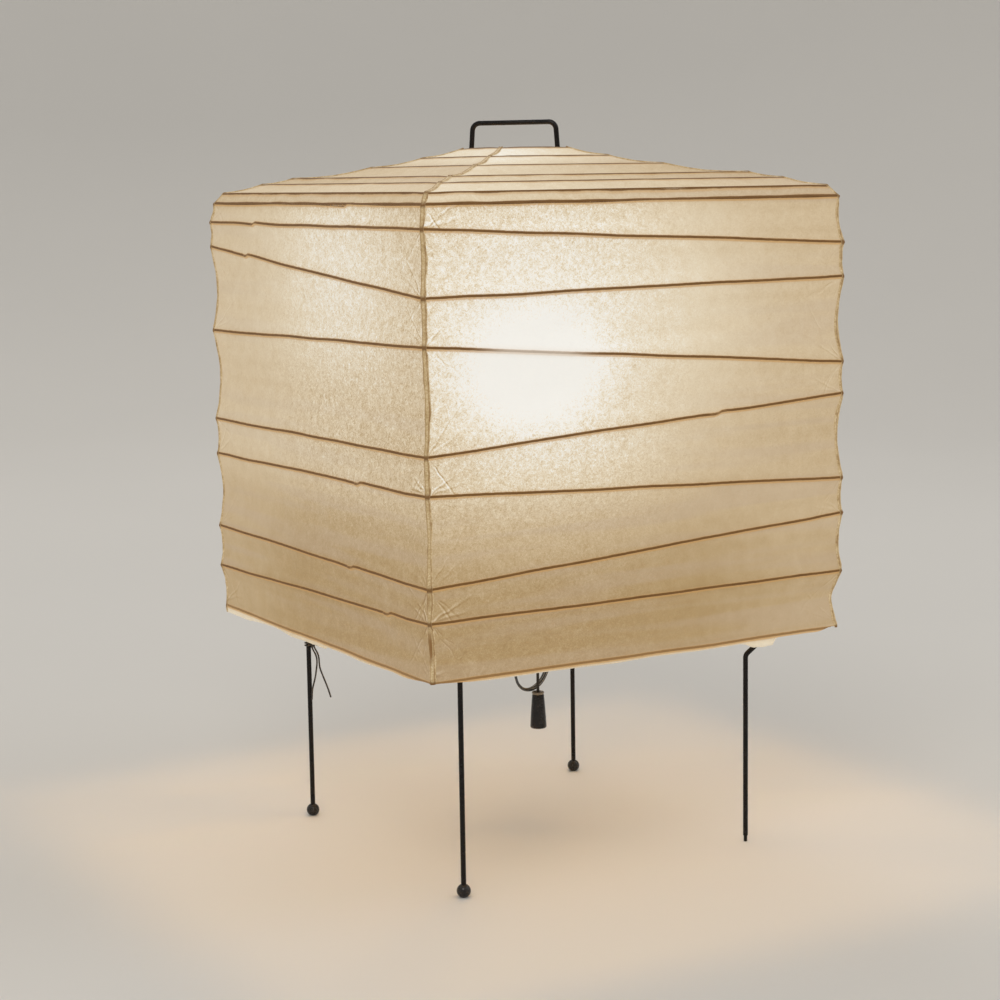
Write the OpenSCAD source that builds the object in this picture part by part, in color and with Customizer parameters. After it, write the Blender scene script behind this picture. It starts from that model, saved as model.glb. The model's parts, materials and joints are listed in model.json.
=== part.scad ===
// Paper lantern lamp: a square shade of washi paper glued over thin bamboo ribs, stretched between
// the hooks of a wire stretcher and a four-armed wire frame that stands on four thin legs.
// The front is -Y, +Z is up, and the origin is on the floor at the middle of the feet.
// Corners run front left, front right, back right, back left; side n runs from corner n to the next.

/* [Shade] */
// Width of the paper body, across its middle ribs
shade_w = 240; // [200:5:320]
// How far the eave and the bottom rib stand in from the middle ribs
end_inset = 1.8; // [0:0.1:5]
// Thickness of the paper with its paste
paper_t = 0.4; // [0.3:0.05:0.8]
// How deep the paper sags in between two ribs, as a share of their distance
paper_sag = 0.05; // [0.01:0.01:0.09]
// Length of paper that hangs below the bottom rib
lip_h = 2.6; // [2:0.1:5]
// Width of each wing of the paper strip over a corner
seam_wing = 1.6; // [1:0.1:4]
// Thickness of the strip over a corner
seam_t = 0.3; // [0.2:0.05:0.6]
// Height of the roof opening above the eave
roof_rise = 26.5; // [15:0.5:50]

/* [Ribs] */
// Radius of a bamboo rib
rib_r = 0.8; // [0.6:0.05:1.2]
// Length of the overlap where the ends of a rib are bound together
splice_l = 9; // [6:1:16]
// Height of rib 2 above rib 1 at the four corners
rise_2 = [26, 27, 20, 20]; // [10:1:60]
// Height of rib 3 above rib 2 at the four corners
rise_3 = [16, 30, 37, 22]; // [10:1:60]
// Height of rib 4 above rib 3 at the four corners
rise_4 = [43, 18, 16, 40]; // [10:1:60]
// Height of rib 5 above rib 4 at the four corners
rise_5 = [18, 43, 44, 19]; // [10:1:60]
// Height of rib 6 above rib 5 at the four corners
rise_6 = [50, 16, 15, 48]; // [10:1:60]
// Height of rib 7 above rib 6 at the four corners
rise_7 = [22, 43, 52, 45]; // [10:1:60]
// Height of rib 8 above rib 7 at the four corners
rise_8 = [31, 17, 13, 13]; // [10:1:60]
// Height of the eave rib above rib 8 at the four corners
rise_9 = [11, 23, 20, 10]; // [10:1:60]

/* [Frame and legs] */
// Height of the bottom rib above the floor
bottom_rib_z = 119; // [115:1:160]
// Radius of the steel wire of the legs, arms and stretcher
wire_r = 1.3; // [1:0.05:1.6]
// Distance of a leg in from the two sides of the shade next to it
leg_in = 35; // [24:1:50]
// Heights at which the legs bend outwards: front left, front right, back right, back left
leg_bend_z = [109, 100, 100, 100]; // [90:1:110]
// Radius of a ball foot
ball_r = 3.5; // [2.8:0.1:5]
// Depth of the flat that a ball foot stands on
ball_flat = 0.35; // [0.2:0.05:0.6]
// Radius of the spigot at a leg's lower end
spigot_r = 0.95; // [0.7:0.05:0.95]
// Length of that spigot
spigot_l = 3.3; // [2.5:0.1:4]
// Radius of the thinner hook at an arm's outer end
hook_r = 0.9; // [0.7:0.05:1]
// Radius of the hub that the arms meet in
hub_r = 17; // [14:0.5:24]
// Height of the hub
hub_h = 6; // [5:0.5:10]

/* [Stretcher and handle] */
// Height of the handle's top above the roof opening
handle_h = 14.3; // [12:0.1:40]
// Distance between the middles of the handle's two uprights at its top
handle_w = 44; // [36:1:50]
// Lean of the handle's uprights
handle_lean = 4; // [0:0.5:8]
// Radius of the handle's bends, to the middle of the wire
handle_bend = 4; // [3:0.5:8]
// Depth below the roof opening where the uprights spread out
shoulder_drop = 17; // [10:1:40]
// Distance of an upright's foot from the middle of the lamp
upright_foot = 62; // [56:1:80]
// Radius of a hook under the roof opening
rim_hook_r = 1; // [0.8:0.1:1.3]
// Length of that hook, from its upright to the corner of the opening, which follows it
rim_hook_l = 5.7; // [5:0.1:14]
// Height of a socket that an upright stands in
socket_h = 8; // [6:1:14]
// Wall of that socket
socket_wall = 1; // [0.8:0.1:2]

/* [Lampholder and bulb] */
// Outer radius of the lampholder
holder_r = 17.5; // [17:0.5:22]
// Height of the lampholder
holder_h = 60; // [54:1:76]
// Wall of the lampholder
holder_wall = 3; // [2:0.1:3.2]
// Radius of the bulb's screw cap
cap_r = 13; // [12:0.1:13]
// Length of the bulb's screw cap
cap_h = 24; // [20:0.5:28]
// Radius of the bulb's globe
globe_r = 30; // [22:1:35]
// Length of the whole bulb
bulb_l = 110; // [100:1:130]
// Radius of the hollow threaded nipple
nipple_r = 5; // [4:0.1:5.2]

/* [Pull switch] */
// Outer radius of the switch case
case_r = 15; // [14.5:0.1:20]
// Height of the switch case without its lid
case_h = 23; // [22:0.5:30]
// Wall of the switch case
case_wall = 1.5; // [1:0.1:1.5]
// Thickness of the switch lid
lid_t = 2; // [1.5:0.1:4]
// Distance of the pull cord from the middle of the lamp
cord_x = 10; // [9:0.1:10]
// Radius of the pull cord
cord_r = 0.8; // [0.5:0.05:0.9]
// Travel of the pull cord
pull_travel = 7; // [4:0.5:7]
// Height of the knob's lower end above the floor
knob_z = 54; // [40:0.5:60]
// Height of the knob
knob_h = 20; // [14:0.5:26]
// Radius of the knob's lower end
knob_r = 4.4; // [3.5:0.1:7]
// Radius of the knob's upper end
knob_top_r = 3; // [2.2:0.1:5]
// Radius of the lever's pivot pin
lever_pin_r = 1; // [0.8:0.05:1.2]

/* [Lead and string] */
// Radius of the lead from the switch to its gland
lead_r = 1.4; // [1:0.05:1.5]
// Radius of the gland on the back right arm
gland_r = 4; // [3.5:0.1:6]
// Radius of the bore that the supply cord enters
outlet_r = 2; // [1.5:0.1:2.8]
// Radius of the string that is wound round the back left leg
string_r = 0.45; // [0.3:0.05:0.6]
// Turns of that string
string_turns = 3; // [2:1:6]

/* [Hidden] */
$fn = 48;

// Clearances
seat_gap = 0.05;     // between parts that are welded, screwed or pressed together
slip_gap = 0.15;     // between the paper and what it is pasted to
run_gap = 0.3;       // round parts that move
pin_gap = 0.05;      // round the lever's pin
hold_gap = 0.1;      // between a wire and the bamboo, leg or clip that it holds
through = 1;         // how far a cut runs past the face that it opens

// Corners, as the signs of X and Y, and where each rib is spliced: its side and the share along it
corner = [[-1, -1], [1, -1], [1, 1], [-1, 1]];
splice_at = [[2, 0.5], [3, 0.84], [3, 0.68], [3, 0.72], [0, 0.68], [2, 0.4], [3, 0.2], [3, 0.24],
  [3, 0.68]];

// Shade, worked out
rib_rises = [rise_2, rise_3, rise_4, rise_5, rise_6, rise_7, rise_8, rise_9];
bands = len(rib_rises);
rib_half = [for (i = [0:bands]) shade_w / 2 - (i == 0 || i == bands ? end_inset : 0)];
// How far the roof's ribs lie along the way from the eave to the opening, inwards and upwards
roof_run = [0, 0.04, 0.2, 0.325, 0.64, 0.845, 1];
roof_lift = [0, 0.2, 0.36, 0.47, 0.66, 0.83, 1];
roof_bands = len(roof_run) - 1;
side_steps = 3;
roof_steps = 2;
across_steps = 6;
panel_margin = paper_t + 0.1;
rib_inset = paper_t + slip_gap + rib_r;

// The roof opening's corners lie a hook's length outside the uprights of the handle
rim_hoop_drop = rib_inset + rib_r / 2;
rim_hook_drop = rim_hoop_drop + rib_r + hold_gap + rim_hook_r;
rim_hook_in = handle_w / 2 + (handle_h - wire_r + rim_hook_drop) * tan(handle_lean) + wire_r + hold_gap;
rim_half = (rim_hook_in + rim_hook_l - rib_r) / sqrt(2);
rim_w = 2 * (rim_half - rib_r - seat_gap);

function mix(a, b, t) = a + (b - a) * t;
function rib_z(i, c) = i == 0 ? bottom_rib_z : rib_z(i - 1, c) + rib_rises[i - 1][c];
function next(c) = (c + 1) % 4;
eave_z = [for (c = [0:3]) rib_z(bands, c)];
rim_z = (eave_z[0] + eave_z[1] + eave_z[2] + eave_z[3]) / 4 + roof_rise;
function roof_half(j) = mix(rib_half[bands], rim_w / 2, roof_run[j]);
function roof_z(j, c) = mix(eave_z[c], rim_z, roof_lift[j]);

// Depth of the side's surface at a share f up band i, where the band is h high
function side_depth(i, f, h) = mix(rib_half[i], rib_half[i + 1], f) - paper_sag * h * sin(180 * f);
function corner_depth(i, f, c) = side_depth(i, f, rib_rises[i][c]);
// Place on side k: d out from the middle, s along the side from its middle, at height z
function place(k, d, s, z) =
  let (a = corner[k], b = corner[next(k)])
  concat((a + b) / 2 * d + (b - a) / 2 * s, [z]);

// Rows of a side panel as [band, share up the band, shift of height], from the lip to the eave
side_rows = concat(
  [[0, 0, -lip_h]],
  [for (i = [0:bands - 1]) for (n = [0:side_steps - 1]) [i, n / side_steps, 0]],
  [[bands - 1, 1, -panel_margin]]);
roof_rows = concat(
  [for (j = [0:roof_bands - 1]) for (n = [0:roof_steps - 1]) [j, n / roof_steps]],
  [[roof_bands - 1, 1]]);

// Point of a side panel's skin, t in from its outer face, at share u along the side
function side_point(k, row, u, t) =
  let (i = row[0], f = row[1], a = k, b = next(k))
  place(k,
    side_depth(i, f, mix(rib_rises[i][a], rib_rises[i][b], u)) - t,
    mix(panel_margin - corner_depth(i, f, a), corner_depth(i, f, b) - panel_margin, u),
    mix(rib_z(i, a) + rib_rises[i][a] * f, rib_z(i, b) + rib_rises[i][b] * f, u) + row[2]);

// Half width and height of the roof at share f across band j, over corner c
function roof_at(j, f) = mix(roof_half(j), roof_half(j + 1), f);
function roof_dip(j, f) = paper_sag * (roof_half(j) - roof_half(j + 1)) * sin(180 * f);
function roof_corner_z(j, f, c) = mix(roof_z(j, c), roof_z(j + 1, c), f) - roof_dip(j, f);
function roof_point(k, row, u, t) =
  let (j = row[0], f = row[1], h = roof_at(j, f))
  place(k, h, mix(panel_margin - h, h - panel_margin, u),
    mix(roof_corner_z(j, f, k), roof_corner_z(j, f, next(k)), u) - t);

// Closed sheet of two skins, each a grid of rows by columns, the outer skin first
function sheet_faces(rows, cols) =
  let (o = rows * cols)
  concat(
    [for (r = [0:rows - 2]) for (c = [0:cols - 2])
      let (p = r * cols + c, q = p + cols)
      each [[p, q, q + 1], [p, q + 1, p + 1],
        [o + p, o + q + 1, o + q], [o + p, o + p + 1, o + q + 1]]],
    [for (c = [0:cols - 2])
      let (p = c, q = (rows - 1) * cols + c)
      each [[p, p + 1, o + p + 1], [p, o + p + 1, o + p],
        [q + 1, q, o + q], [q + 1, o + q, o + q + 1]]],
    [for (r = [0:rows - 2])
      let (p = r * cols, q = p + cols, p2 = p + cols - 1, q2 = q + cols - 1)
      each [[q, p, o + p], [q, o + p, o + q],
        [p2, q2, o + q2], [p2, o + q2, o + p2]]]);

module side_panel(k) {
  color("cornsilk")
    polyhedron(
      [for (t = [0, paper_t]) for (row = side_rows) for (n = [0:across_steps])
        side_point(k, row, n / across_steps, t)],
      sheet_faces(len(side_rows), across_steps + 1));
}

module roof_panel(k) {
  color("cornsilk")
    polyhedron(
      [for (t = [0, paper_t]) for (row = roof_rows) for (n = [0:across_steps])
        roof_point(k, row, n / across_steps, t)],
      sheet_faces(len(roof_rows), across_steps + 1));
}

// Angled strip over corner c: six points a row, its inner face then its outer face
function seam_row(c, h, z, side_out, top_out) =
  let (
    s = corner[c],
    w = h - seam_wing,
    i = h + side_out,
    o = i + (side_out > 0 ? seam_t : 0),
    zi = z + top_out,
    zo = zi + (top_out > 0 ? seam_t : 0),
    turn = s[0] * s[1],
    first = turn > 0 ? [[w, i], [i, i], [i, w]] : [[i, w], [i, i], [w, i]],
    last = turn > 0 ? [[o, w], [o, o], [w, o]] : [[w, o], [o, o], [o, w]])
  concat(
    [for (p = first) [s[0] * p[0], s[1] * p[1], zi]],
    [for (p = last) [s[0] * p[0], s[1] * p[1], zo]]);

function seam_rows(c) = concat(
  [for (row = side_rows)
    seam_row(c, corner_depth(row[0], row[1], c),
      rib_z(row[0], c) + rib_rises[row[0]][c] * row[1] + row[2], slip_gap, 0)],
  [seam_row(c, roof_at(0, 0), roof_corner_z(0, 0, c), slip_gap, slip_gap)],
  [for (row = roof_rows) if (row[0] > 0 || row[1] > 0)
    seam_row(c, roof_at(row[0], row[1]), roof_corner_z(row[0], row[1], c), 0, slip_gap)]);

// Strip of six-pointed rows, closed at both ends
function strip_faces(rows) =
  let (e = (rows - 1) * 6)
  concat(
    [for (r = [0:rows - 2]) for (c = [0:5])
      let (p = r * 6 + c, q = r * 6 + (c + 1) % 6)
      each [[p, p + 6, q + 6], [p, q + 6, q]]],
    [[0, 1, 4], [0, 4, 5], [1, 2, 3], [1, 3, 4]],
    [[e, e + 4, e + 1], [e, e + 5, e + 4], [e + 1, e + 3, e + 2], [e + 1, e + 4, e + 3]]);

module corner_seam(c) {
  rows = seam_rows(c);
  color("wheat") polyhedron([for (row = rows) each row], strip_faces(len(rows)));
}

// Round rod between two points
module rod(a, b, r) {
  v = b - a;
  translate(a)
    rotate([0, acos(v[2] / norm(v)), atan2(v[1], v[0])])
      cylinder(r = r, h = norm(v));
}

// Bent wire, drawn upwards from the origin: a straight run or a bend towards +X, then its children.
// A bend is a hair thicker than the wire, as pressed wire is.
bend_swell = 0.02;
module run(l, r) {
  cylinder(r = r, h = l);
  translate([0, 0, l]) children();
}

module bend(a, bend_r, r) {
  translate([bend_r, 0, 0]) rotate([90, 0, 0]) rotate([0, 0, 180 - a])
    rotate_extrude(angle = a) translate([bend_r, 0]) circle(r = r + bend_swell);
  translate([bend_r, 0, 0]) rotate([0, a, 0]) translate([-bend_r, 0, 0]) children();
}

// Bamboo hoop: a rod mitred at its four corners, closed on itself
hoop_sides = 10;
// How far the second rod of a splice lies inside the first, in radii of a rib
splice_in = 1.2;
function hoop_ring(points, c) =
  let (
    before = points[(c + 3) % 4],
    t = unit(unit(points[c] - before) + unit(points[next(c)] - points[c])),
    up = unit([0, 0, 1] - t[2] * t),
    across = cross(t, up) * sqrt(2))
  [for (k = [0:hoop_sides - 1]) let (a = 360 * k / hoop_sides)
    points[c] + rib_r * (cos(a) * up + sin(a) * across)];

module hoop(points, splice) {
  n = hoop_sides;
  a = points[splice[0]];
  b = points[next(splice[0])];
  half = unit(b - a) * splice_l / 2;
  in = corner[splice[0]] + corner[next(splice[0])];
  mid = mix(a, b, splice[1]) - concat(in / 2, [0]) * rib_r * splice_in;
  color("peru") union() {
    polyhedron(
      [for (c = [0:3]) each hoop_ring(points, c)],
      [for (c = [0:3]) for (k = [0:n - 1])
        let (p = c * n + k, q = c * n + (k + 1) % n, p2 = (p + n) % (4 * n), q2 = (q + n) % (4 * n))
        each [[p, p2, q2], [p, q2, q]]]);
    tube([mid - half, mid + half], rib_r, n, [0, 0, 1]);
  }
}

function hoop_points(h, z) = [for (c = [0:3]) concat(corner[c] * h, [z[c]])];

module side_rib(i) {
  tuck = i == bands ? rib_inset : 0;
  hoop(hoop_points(rib_half[i] - rib_inset, [for (c = [0:3]) rib_z(i, c) - tuck]), splice_at[i]);
}

// The lowest roof rib also stands in from the paper, which starts steeply
module roof_rib(j) {
  half = roof_half(j) - (j == 1 ? rib_inset / 2 : 0);
  hoop(hoop_points(half, [for (c = [0:3]) roof_z(j, c) - rib_inset]), [1 + j % 2, 0.5]);
}

// The rim hoop lies wholly under the paper's inner edge
rim_hoop_z = rim_z - rim_hoop_drop;
module rim_ring() {
  hoop(hoop_points(rim_half, [for (c = [0:3]) rim_hoop_z]), [2, 0.5]);
}

// Frame: four arms in a hub, held by the bottom rib's corners
bottom_half = rib_half[0] - rib_inset;
arm_z = bottom_rib_z + rib_r + slip_gap + wire_r;
hook_at = bottom_half - rib_r - hook_r - hold_gap;
hook_z = bottom_rib_z - rib_r - hold_gap - hook_r;
arm_sunk = 4.5;
arm_in = hub_r - arm_sunk;
hub_z = arm_z - hub_h / 2;
leg_at = shade_w / 2 - leg_in;
hook_bend = 1.4;
leg_bend_r = 4;
// A leg's slanting end stops under its arm, which it is welded to
leg_top_z = arm_z - wire_r * (1 + cos(45)) - seat_gap;
function leg_slant(c) = (leg_top_z - leg_bend_z[c]) * sqrt(2) - leg_bend_r * tan(45 / 2);

function radial(c, at, z) = concat(corner[c] * at, [z]);
function corner_angle(c) = atan2(corner[c][1], corner[c][0]);

// Arm along +X, with its end bent down and out again to hold a corner of the bottom rib
module arm() {
  outer = hook_at * sqrt(2) - hook_bend;
  translate([arm_in, 0, arm_z]) rotate([0, 90, 0]) cylinder(r = wire_r, h = outer - arm_in);
  translate([outer - through, 0, arm_z]) rotate([0, 90, 0])
    run(through, hook_r) bend(90, hook_bend, hook_r)
      run(arm_z - hook_z - 2 * hook_bend, hook_r)
        mirror([1, 0, 0]) bend(90, hook_bend, hook_r);
}

module frame_arms() {
  color("#1c1a19") for (c = [0:3]) rotate([0, 0, corner_angle(c)]) union() arm();
}

module frame_hub() {
  color("#1c1a19") difference() {
    translate([0, 0, hub_z]) cylinder(r = hub_r, h = hub_h);
    translate([0, 0, hub_z - through]) cylinder(r = nipple_r + seat_gap, h = hub_h + 2 * through);
    for (c = [0:3])
      rod(radial(c, (arm_in - seat_gap) / sqrt(2), arm_z), radial(c, hub_r, arm_z), wire_r + seat_gap);
  }
}

// Ball feet and legs: the front right leg has lost its ball and stands on its spigot
ball_z = ball_r - ball_flat;
shoulder_z = ball_z + ball_r + seat_gap;

module leg(c, foot_z) {
  color("#1c1a19") translate(radial(c, leg_at, 0)) rotate([0, 0, corner_angle(c)]) union() {
    translate([0, 0, foot_z - spigot_l]) cylinder(r = spigot_r, h = spigot_l + through);
    translate([0, 0, foot_z])
      run(leg_bend_z[c] - foot_z - leg_bend_r * tan(45 / 2), wire_r)
        bend(45, leg_bend_r, wire_r)
          run(leg_slant(c), wire_r);
  }
}

module ball_foot(c) {
  color("#141312") difference() {
    translate(radial(c, leg_at, ball_z)) sphere(r = ball_r);
    translate(radial(c, leg_at, -ball_r)) cylinder(r = 2 * ball_r, h = ball_r);
    translate(radial(c, leg_at, shoulder_z - spigot_l - seat_gap))
      cylinder(r = spigot_r + seat_gap / 2, h = spigot_l + through);
  }
}

// Stretcher: drawn in its own plane, x outwards from the lamp's axis, then turned onto the
// diagonal from the back left corner to the front right one
handle_z = rim_z + handle_h - wire_r;
bar_half = handle_w / 2 - handle_bend * tan((90 - handle_lean) / 2);
shoulder = [handle_w / 2 + (handle_z - rim_z + shoulder_drop) * tan(handle_lean), rim_z - shoulder_drop];
socket_r = wire_r + seat_gap + socket_wall;
// A socket leans, so its foot stands clear of the arm by a share of its radius
socket_lift = 0.2;
socket_foot = [upright_foot, arm_z + wire_r + seat_gap + socket_r * socket_lift];
upright_dir = (shoulder - socket_foot) / norm(shoulder - socket_foot);
// The upright's lean below its shoulder, and how much of each straight a bend takes up
low_lean = atan2(-upright_dir[0], upright_dir[1]);
shoulder_bend = 60;
shoulder_cut = shoulder_bend * tan((low_lean - handle_lean) / 2);
high_l = (handle_z - shoulder[1]) / cos(handle_lean) - handle_bend * tan((90 - handle_lean) / 2)
  - shoulder_cut;
low_l = norm(shoulder - socket_foot) - shoulder_cut - socket_wall - seat_gap;

module on_diagonal() {
  rotate([0, 0, -45]) children();
}

module stretcher() {
  color("#1c1a19") on_diagonal() union()
    for (side = [0, 1]) mirror([side, 0, 0]) translate([0, 0, handle_z]) rotate([0, 90, 0])
      run(bar_half, wire_r) bend(90 - handle_lean, handle_bend, wire_r)
        run(high_l, wire_r) mirror([1, 0, 0]) bend(low_lean - handle_lean, shoulder_bend, wire_r)
          run(low_l, wire_r);
}

// A hook under each corner of the rim hoop that an upright passes
rim_hook_z = rim_z - rim_hook_drop;
module rim_hooks() {
  color("#1c1a19") on_diagonal() for (side = [-1, 1])
    rod([side * rim_hook_in, 0, rim_hook_z], [side * (rim_hook_in + rim_hook_l), 0, rim_hook_z],
      rim_hook_r);
}

function flat_point(p, side) = [side * p[0], 0, p[1]];

module upright_sockets() {
  color("#1c1a19") on_diagonal() for (side = [-1, 1]) difference() {
    rod(flat_point(socket_foot, side), flat_point(socket_foot + upright_dir * socket_h, side), socket_r);
    rod(flat_point(socket_foot + upright_dir * socket_wall, side),
      flat_point(socket_foot + upright_dir * (socket_h + through), side), wire_r + seat_gap);
  }
}

// Lampholder on the hub: a shell, a ceramic core, the screw shell and the centre contact
holder_z = hub_z + hub_h + seat_gap;
nipple_top = holder_z + holder_wall + 4;
nipple_wall = 1.5;
core_r = holder_r - holder_wall - slip_gap;
core_z = holder_z + holder_wall + seat_gap;
core_h = 24.5;
core_top = core_z + core_h;
core_roof = 4;
contact_h = 3;
contact_t = 0.6;
contact_r = 1.4;
shell_play = 0.3;
shell_t = 0.5;
// The bulb's cap: a tip, an insulating cone and a screw shell that holds the glass neck
tip_z = core_top + contact_h + seat_gap;
tip_r = 4;
tip_h = 0.6;
cone_h = 2.45;
cap_z = tip_z + cone_h;
cap_wall = 1.5;
neck_r = cap_r - 0.6;
neck_h = 9;
neck_flare = 0.8;
neck_depth = 3;
glass_wall = 1;
globe_z = tip_z + bulb_l - globe_r;
// Where the neck runs into the globe, as an angle below its equator, and the step of its outline
globe_start = -48;
globe_step = 8;

module holder_shell() {
  color("#22201f") difference() {
    translate([0, 0, holder_z]) cylinder(r = holder_r, h = holder_h);
    translate([0, 0, holder_z + holder_wall]) cylinder(r = holder_r - holder_wall, h = holder_h);
    translate([0, 0, holder_z - through]) cylinder(r = nipple_r + seat_gap, h = holder_h);
  }
}

module holder_core() {
  color("ivory") difference() {
    translate([0, 0, core_z]) cylinder(r = core_r, h = core_h);
    translate([0, 0, core_z - through])
      cylinder(r = nipple_r + slip_gap, h = nipple_top - core_z + through + run_gap);
    translate([0, 0, core_z]) cylinder(r = nipple_r / 2, h = core_h - core_roof);
  }
}

module screw_shell() {
  shell_in = cap_r + shell_play;
  color("goldenrod") difference() {
    translate([0, 0, core_top + seat_gap]) cylinder(r = shell_in + shell_t, h = cap_h + 2);
    translate([0, 0, core_top]) cylinder(r = shell_in, h = cap_h + 4);
  }
}

module centre_contact() {
  color("goldenrod") union() {
    translate([0, 0, core_top + seat_gap]) cylinder(r = cap_r / 2, h = contact_t);
    translate([0, 0, core_top + contact_h - contact_r]) sphere(r = contact_r);
  }
}

module nipple() {
  h = nipple_top - nipple_z;
  color("gainsboro") difference() {
    translate([0, 0, nipple_z]) cylinder(r = nipple_r, h = h);
    translate([0, 0, nipple_z - through]) cylinder(r = nipple_r - nipple_wall, h = h + 2 * through);
  }
}

module nipple_nuts() {
  color("gainsboro") {
    nut(nipple_z, case_top - nipple_z - seat_gap);
    nut(lid_top + seat_gap, hub_z - lid_top - 2 * seat_gap);
  }
}

nut_wall = 2.4;
module nut(z, h) {
  difference() {
    translate([0, 0, z]) cylinder(r = nipple_r + nut_wall, h = h, $fn = 6);
    translate([0, 0, z - through]) cylinder(r = nipple_r + seat_gap, h = h + 2 * through);
  }
}

// Outline of the glass, drawn in by t from its outer face
function glass_outline(t) =
  let (neck_z = cap_z + cap_h - neck_depth, r = globe_r - t)
  concat(
    [[neck_r - t, neck_z], [neck_r - t, neck_z + neck_depth], [neck_r + neck_flare - t, neck_z + neck_h]],
    [for (a = [globe_start:globe_step:90 - globe_step / 2]) [r * cos(a), globe_z + r * sin(a)]],
    [[0, globe_z + r]]);
function reversed(v) = [for (i = [len(v) - 1:-1:0]) v[i]];

module bulb_glass() {
  color("#fff6e0") rotate_extrude()
    polygon(concat(glass_outline(0), reversed(glass_outline(glass_wall))));
}

module bulb_cap() {
  color("silver") difference() {
    union() {
      translate([0, 0, cap_z]) cylinder(r = cap_r, h = cap_h);
      translate([0, 0, tip_z + tip_h]) cylinder(r1 = tip_r + 0.5, r2 = cap_r - 1, h = cone_h - tip_h);
      translate([0, 0, tip_z]) cylinder(r = tip_r, h = tip_h + 0.1);
    }
    translate([0, 0, cap_z + cap_h - neck_depth - seat_gap]) cylinder(r = neck_r + seat_gap, h = cap_h);
    translate([0, 0, cap_z + cap_wall]) cylinder(r = cap_r - cap_wall, h = cap_h);
  }
}

// Pull switch under the hub, on the nipple. The cord's bead pushes the lever down from its rest,
// tilted up, to as far below, and the spring under the cord's collar lifts the cord again.
hub_drop = 3.2;
lid_top = hub_z - hub_drop;
case_top = lid_top - lid_t - seat_gap;
case_z = case_top - case_h;
floor_z = case_z + case_wall;
nipple_z = case_top - 2;
pivot_h = 14;
lever_tilt = 12;
lever_reach = pull_travel / 2 / sin(lever_tilt);
lever_half_t = 0.6;
lever_half_w = 2.5;
lever_eye_r = 2.2;
lever_tip = 2.2;
pivot = [cord_x - lever_reach * cos(lever_tilt), case_z + pivot_h];
lever_end_z = pivot[1] + lever_reach * sin(lever_tilt);
bead_r = 1.8;
bead_z = lever_end_z + (lever_half_t + bead_r + run_gap) / cos(lever_tilt);
collar_r = 2.2;
collar_t = 1;
collar_z = lever_end_z - 2.9;
cheek_t = 1.2;
cheek_half = 2;
cheek_in = lever_half_w + slip_gap;
cheek_z = case_z + case_wall / 2;
bell_r = 2.4;
bell_t = 1.2;

module switch_case() {
  color("#22201f") difference() {
    union() {
      difference() {
        translate([0, 0, case_z]) cylinder(r = case_r, h = case_h);
        translate([0, 0, floor_z]) cylinder(r = case_r - case_wall, h = case_h);
      }
      for (side = [-1, 1])
        translate([pivot[0] - cheek_half, side * (cheek_in + cheek_t / 2) - cheek_t / 2, cheek_z])
          cube([2 * cheek_half, cheek_t, pivot[1] + cheek_half - cheek_z]);
    }
    translate([cord_x, 0, case_z - through]) cylinder(r = bell_r + seat_gap, h = case_wall + 2 * through);
    translate([pivot[0], case_r, pivot[1]])
      rotate([90, 0, 0]) cylinder(r = lever_pin_r + seat_gap / 2, h = 2 * case_r);
  }
}

module switch_lid() {
  color("#22201f") difference() {
    translate([0, 0, case_top + seat_gap]) cylinder(r = case_r, h = lid_t);
    translate([0, 0, case_top - through]) cylinder(r = nipple_r + seat_gap, h = lid_t + 3 * through);
  }
}

// Bell mouth of the pull cord: a flared lip below the case and a collar inside it
module bell_mouth() {
  bore = cord_r + run_gap;
  color("silver") translate([cord_x, 0, 0]) rotate_extrude() polygon([
    [bore, case_z - 2.5], [bore + 0.8, case_z - 3.6], [bell_r, case_z - 4], [bell_r + 1, case_z - 3],
    [bell_r + 0.6, case_z - seat_gap], [bell_r, case_z - seat_gap], [bell_r, floor_z + seat_gap],
    [bell_r + 0.7, floor_z + seat_gap], [bell_r + 0.7, floor_z + bell_t], [bore, floor_z + bell_t]]);
}

module pull_lever() {
  slot_half = cord_r + run_gap;
  reach = lever_reach + lever_tip;
  color("goldenrod") translate([pivot[0], 0, pivot[1]]) rotate([0, -lever_tilt, 0]) difference() {
    union() {
      rotate([90, 0, 0]) cylinder(r = lever_eye_r, h = 2 * lever_half_w, center = true);
      translate([0, -lever_half_w, -lever_half_t]) cube([reach, 2 * lever_half_w, 2 * lever_half_t]);
    }
    rotate([90, 0, 0]) cylinder(r = lever_pin_r + pin_gap, h = 4 * lever_half_w, center = true);
    translate([lever_reach - slot_half - run_gap, -slot_half, -lever_half_t - through])
      cube([reach, 2 * slot_half, 2 * (lever_half_t + through)]);
  }
}

module lever_pin() {
  reach = cheek_in + cheek_t;
  color("silver") translate([pivot[0], reach, pivot[1]])
    rotate([90, 0, 0]) cylinder(r = lever_pin_r, h = 2 * reach);
}

// The cord runs from half way down the knob to its bead
module pull_cord() {
  cord_z = knob_z + knob_h / 2;
  color("#1b1917") translate([cord_x, 0, 0]) union() {
    translate([0, 0, cord_z]) cylinder(r = cord_r, h = bead_z - cord_z);
    translate([0, 0, bead_z]) sphere(r = bead_r);
    translate([0, 0, collar_z]) cylinder(r = collar_r, h = collar_t);
  }
}

module pull_knob() {
  bore = cord_r + seat_gap;
  bead = knob_top_r + 0.3;
  color("#141312") translate([cord_x, 0, knob_z]) rotate_extrude() polygon([
    [0, 0], [knob_r - 0.4, 0], [knob_r, 0.4], [bead - 0.2, knob_h - 1.2],
    [bead, knob_h - 1], [bead, knob_h - 0.2], [bead - 0.5, knob_h],
    [bore, knob_h], [bore, knob_h / 2 - seat_gap], [0, knob_h / 2 - seat_gap]]);
}

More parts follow.
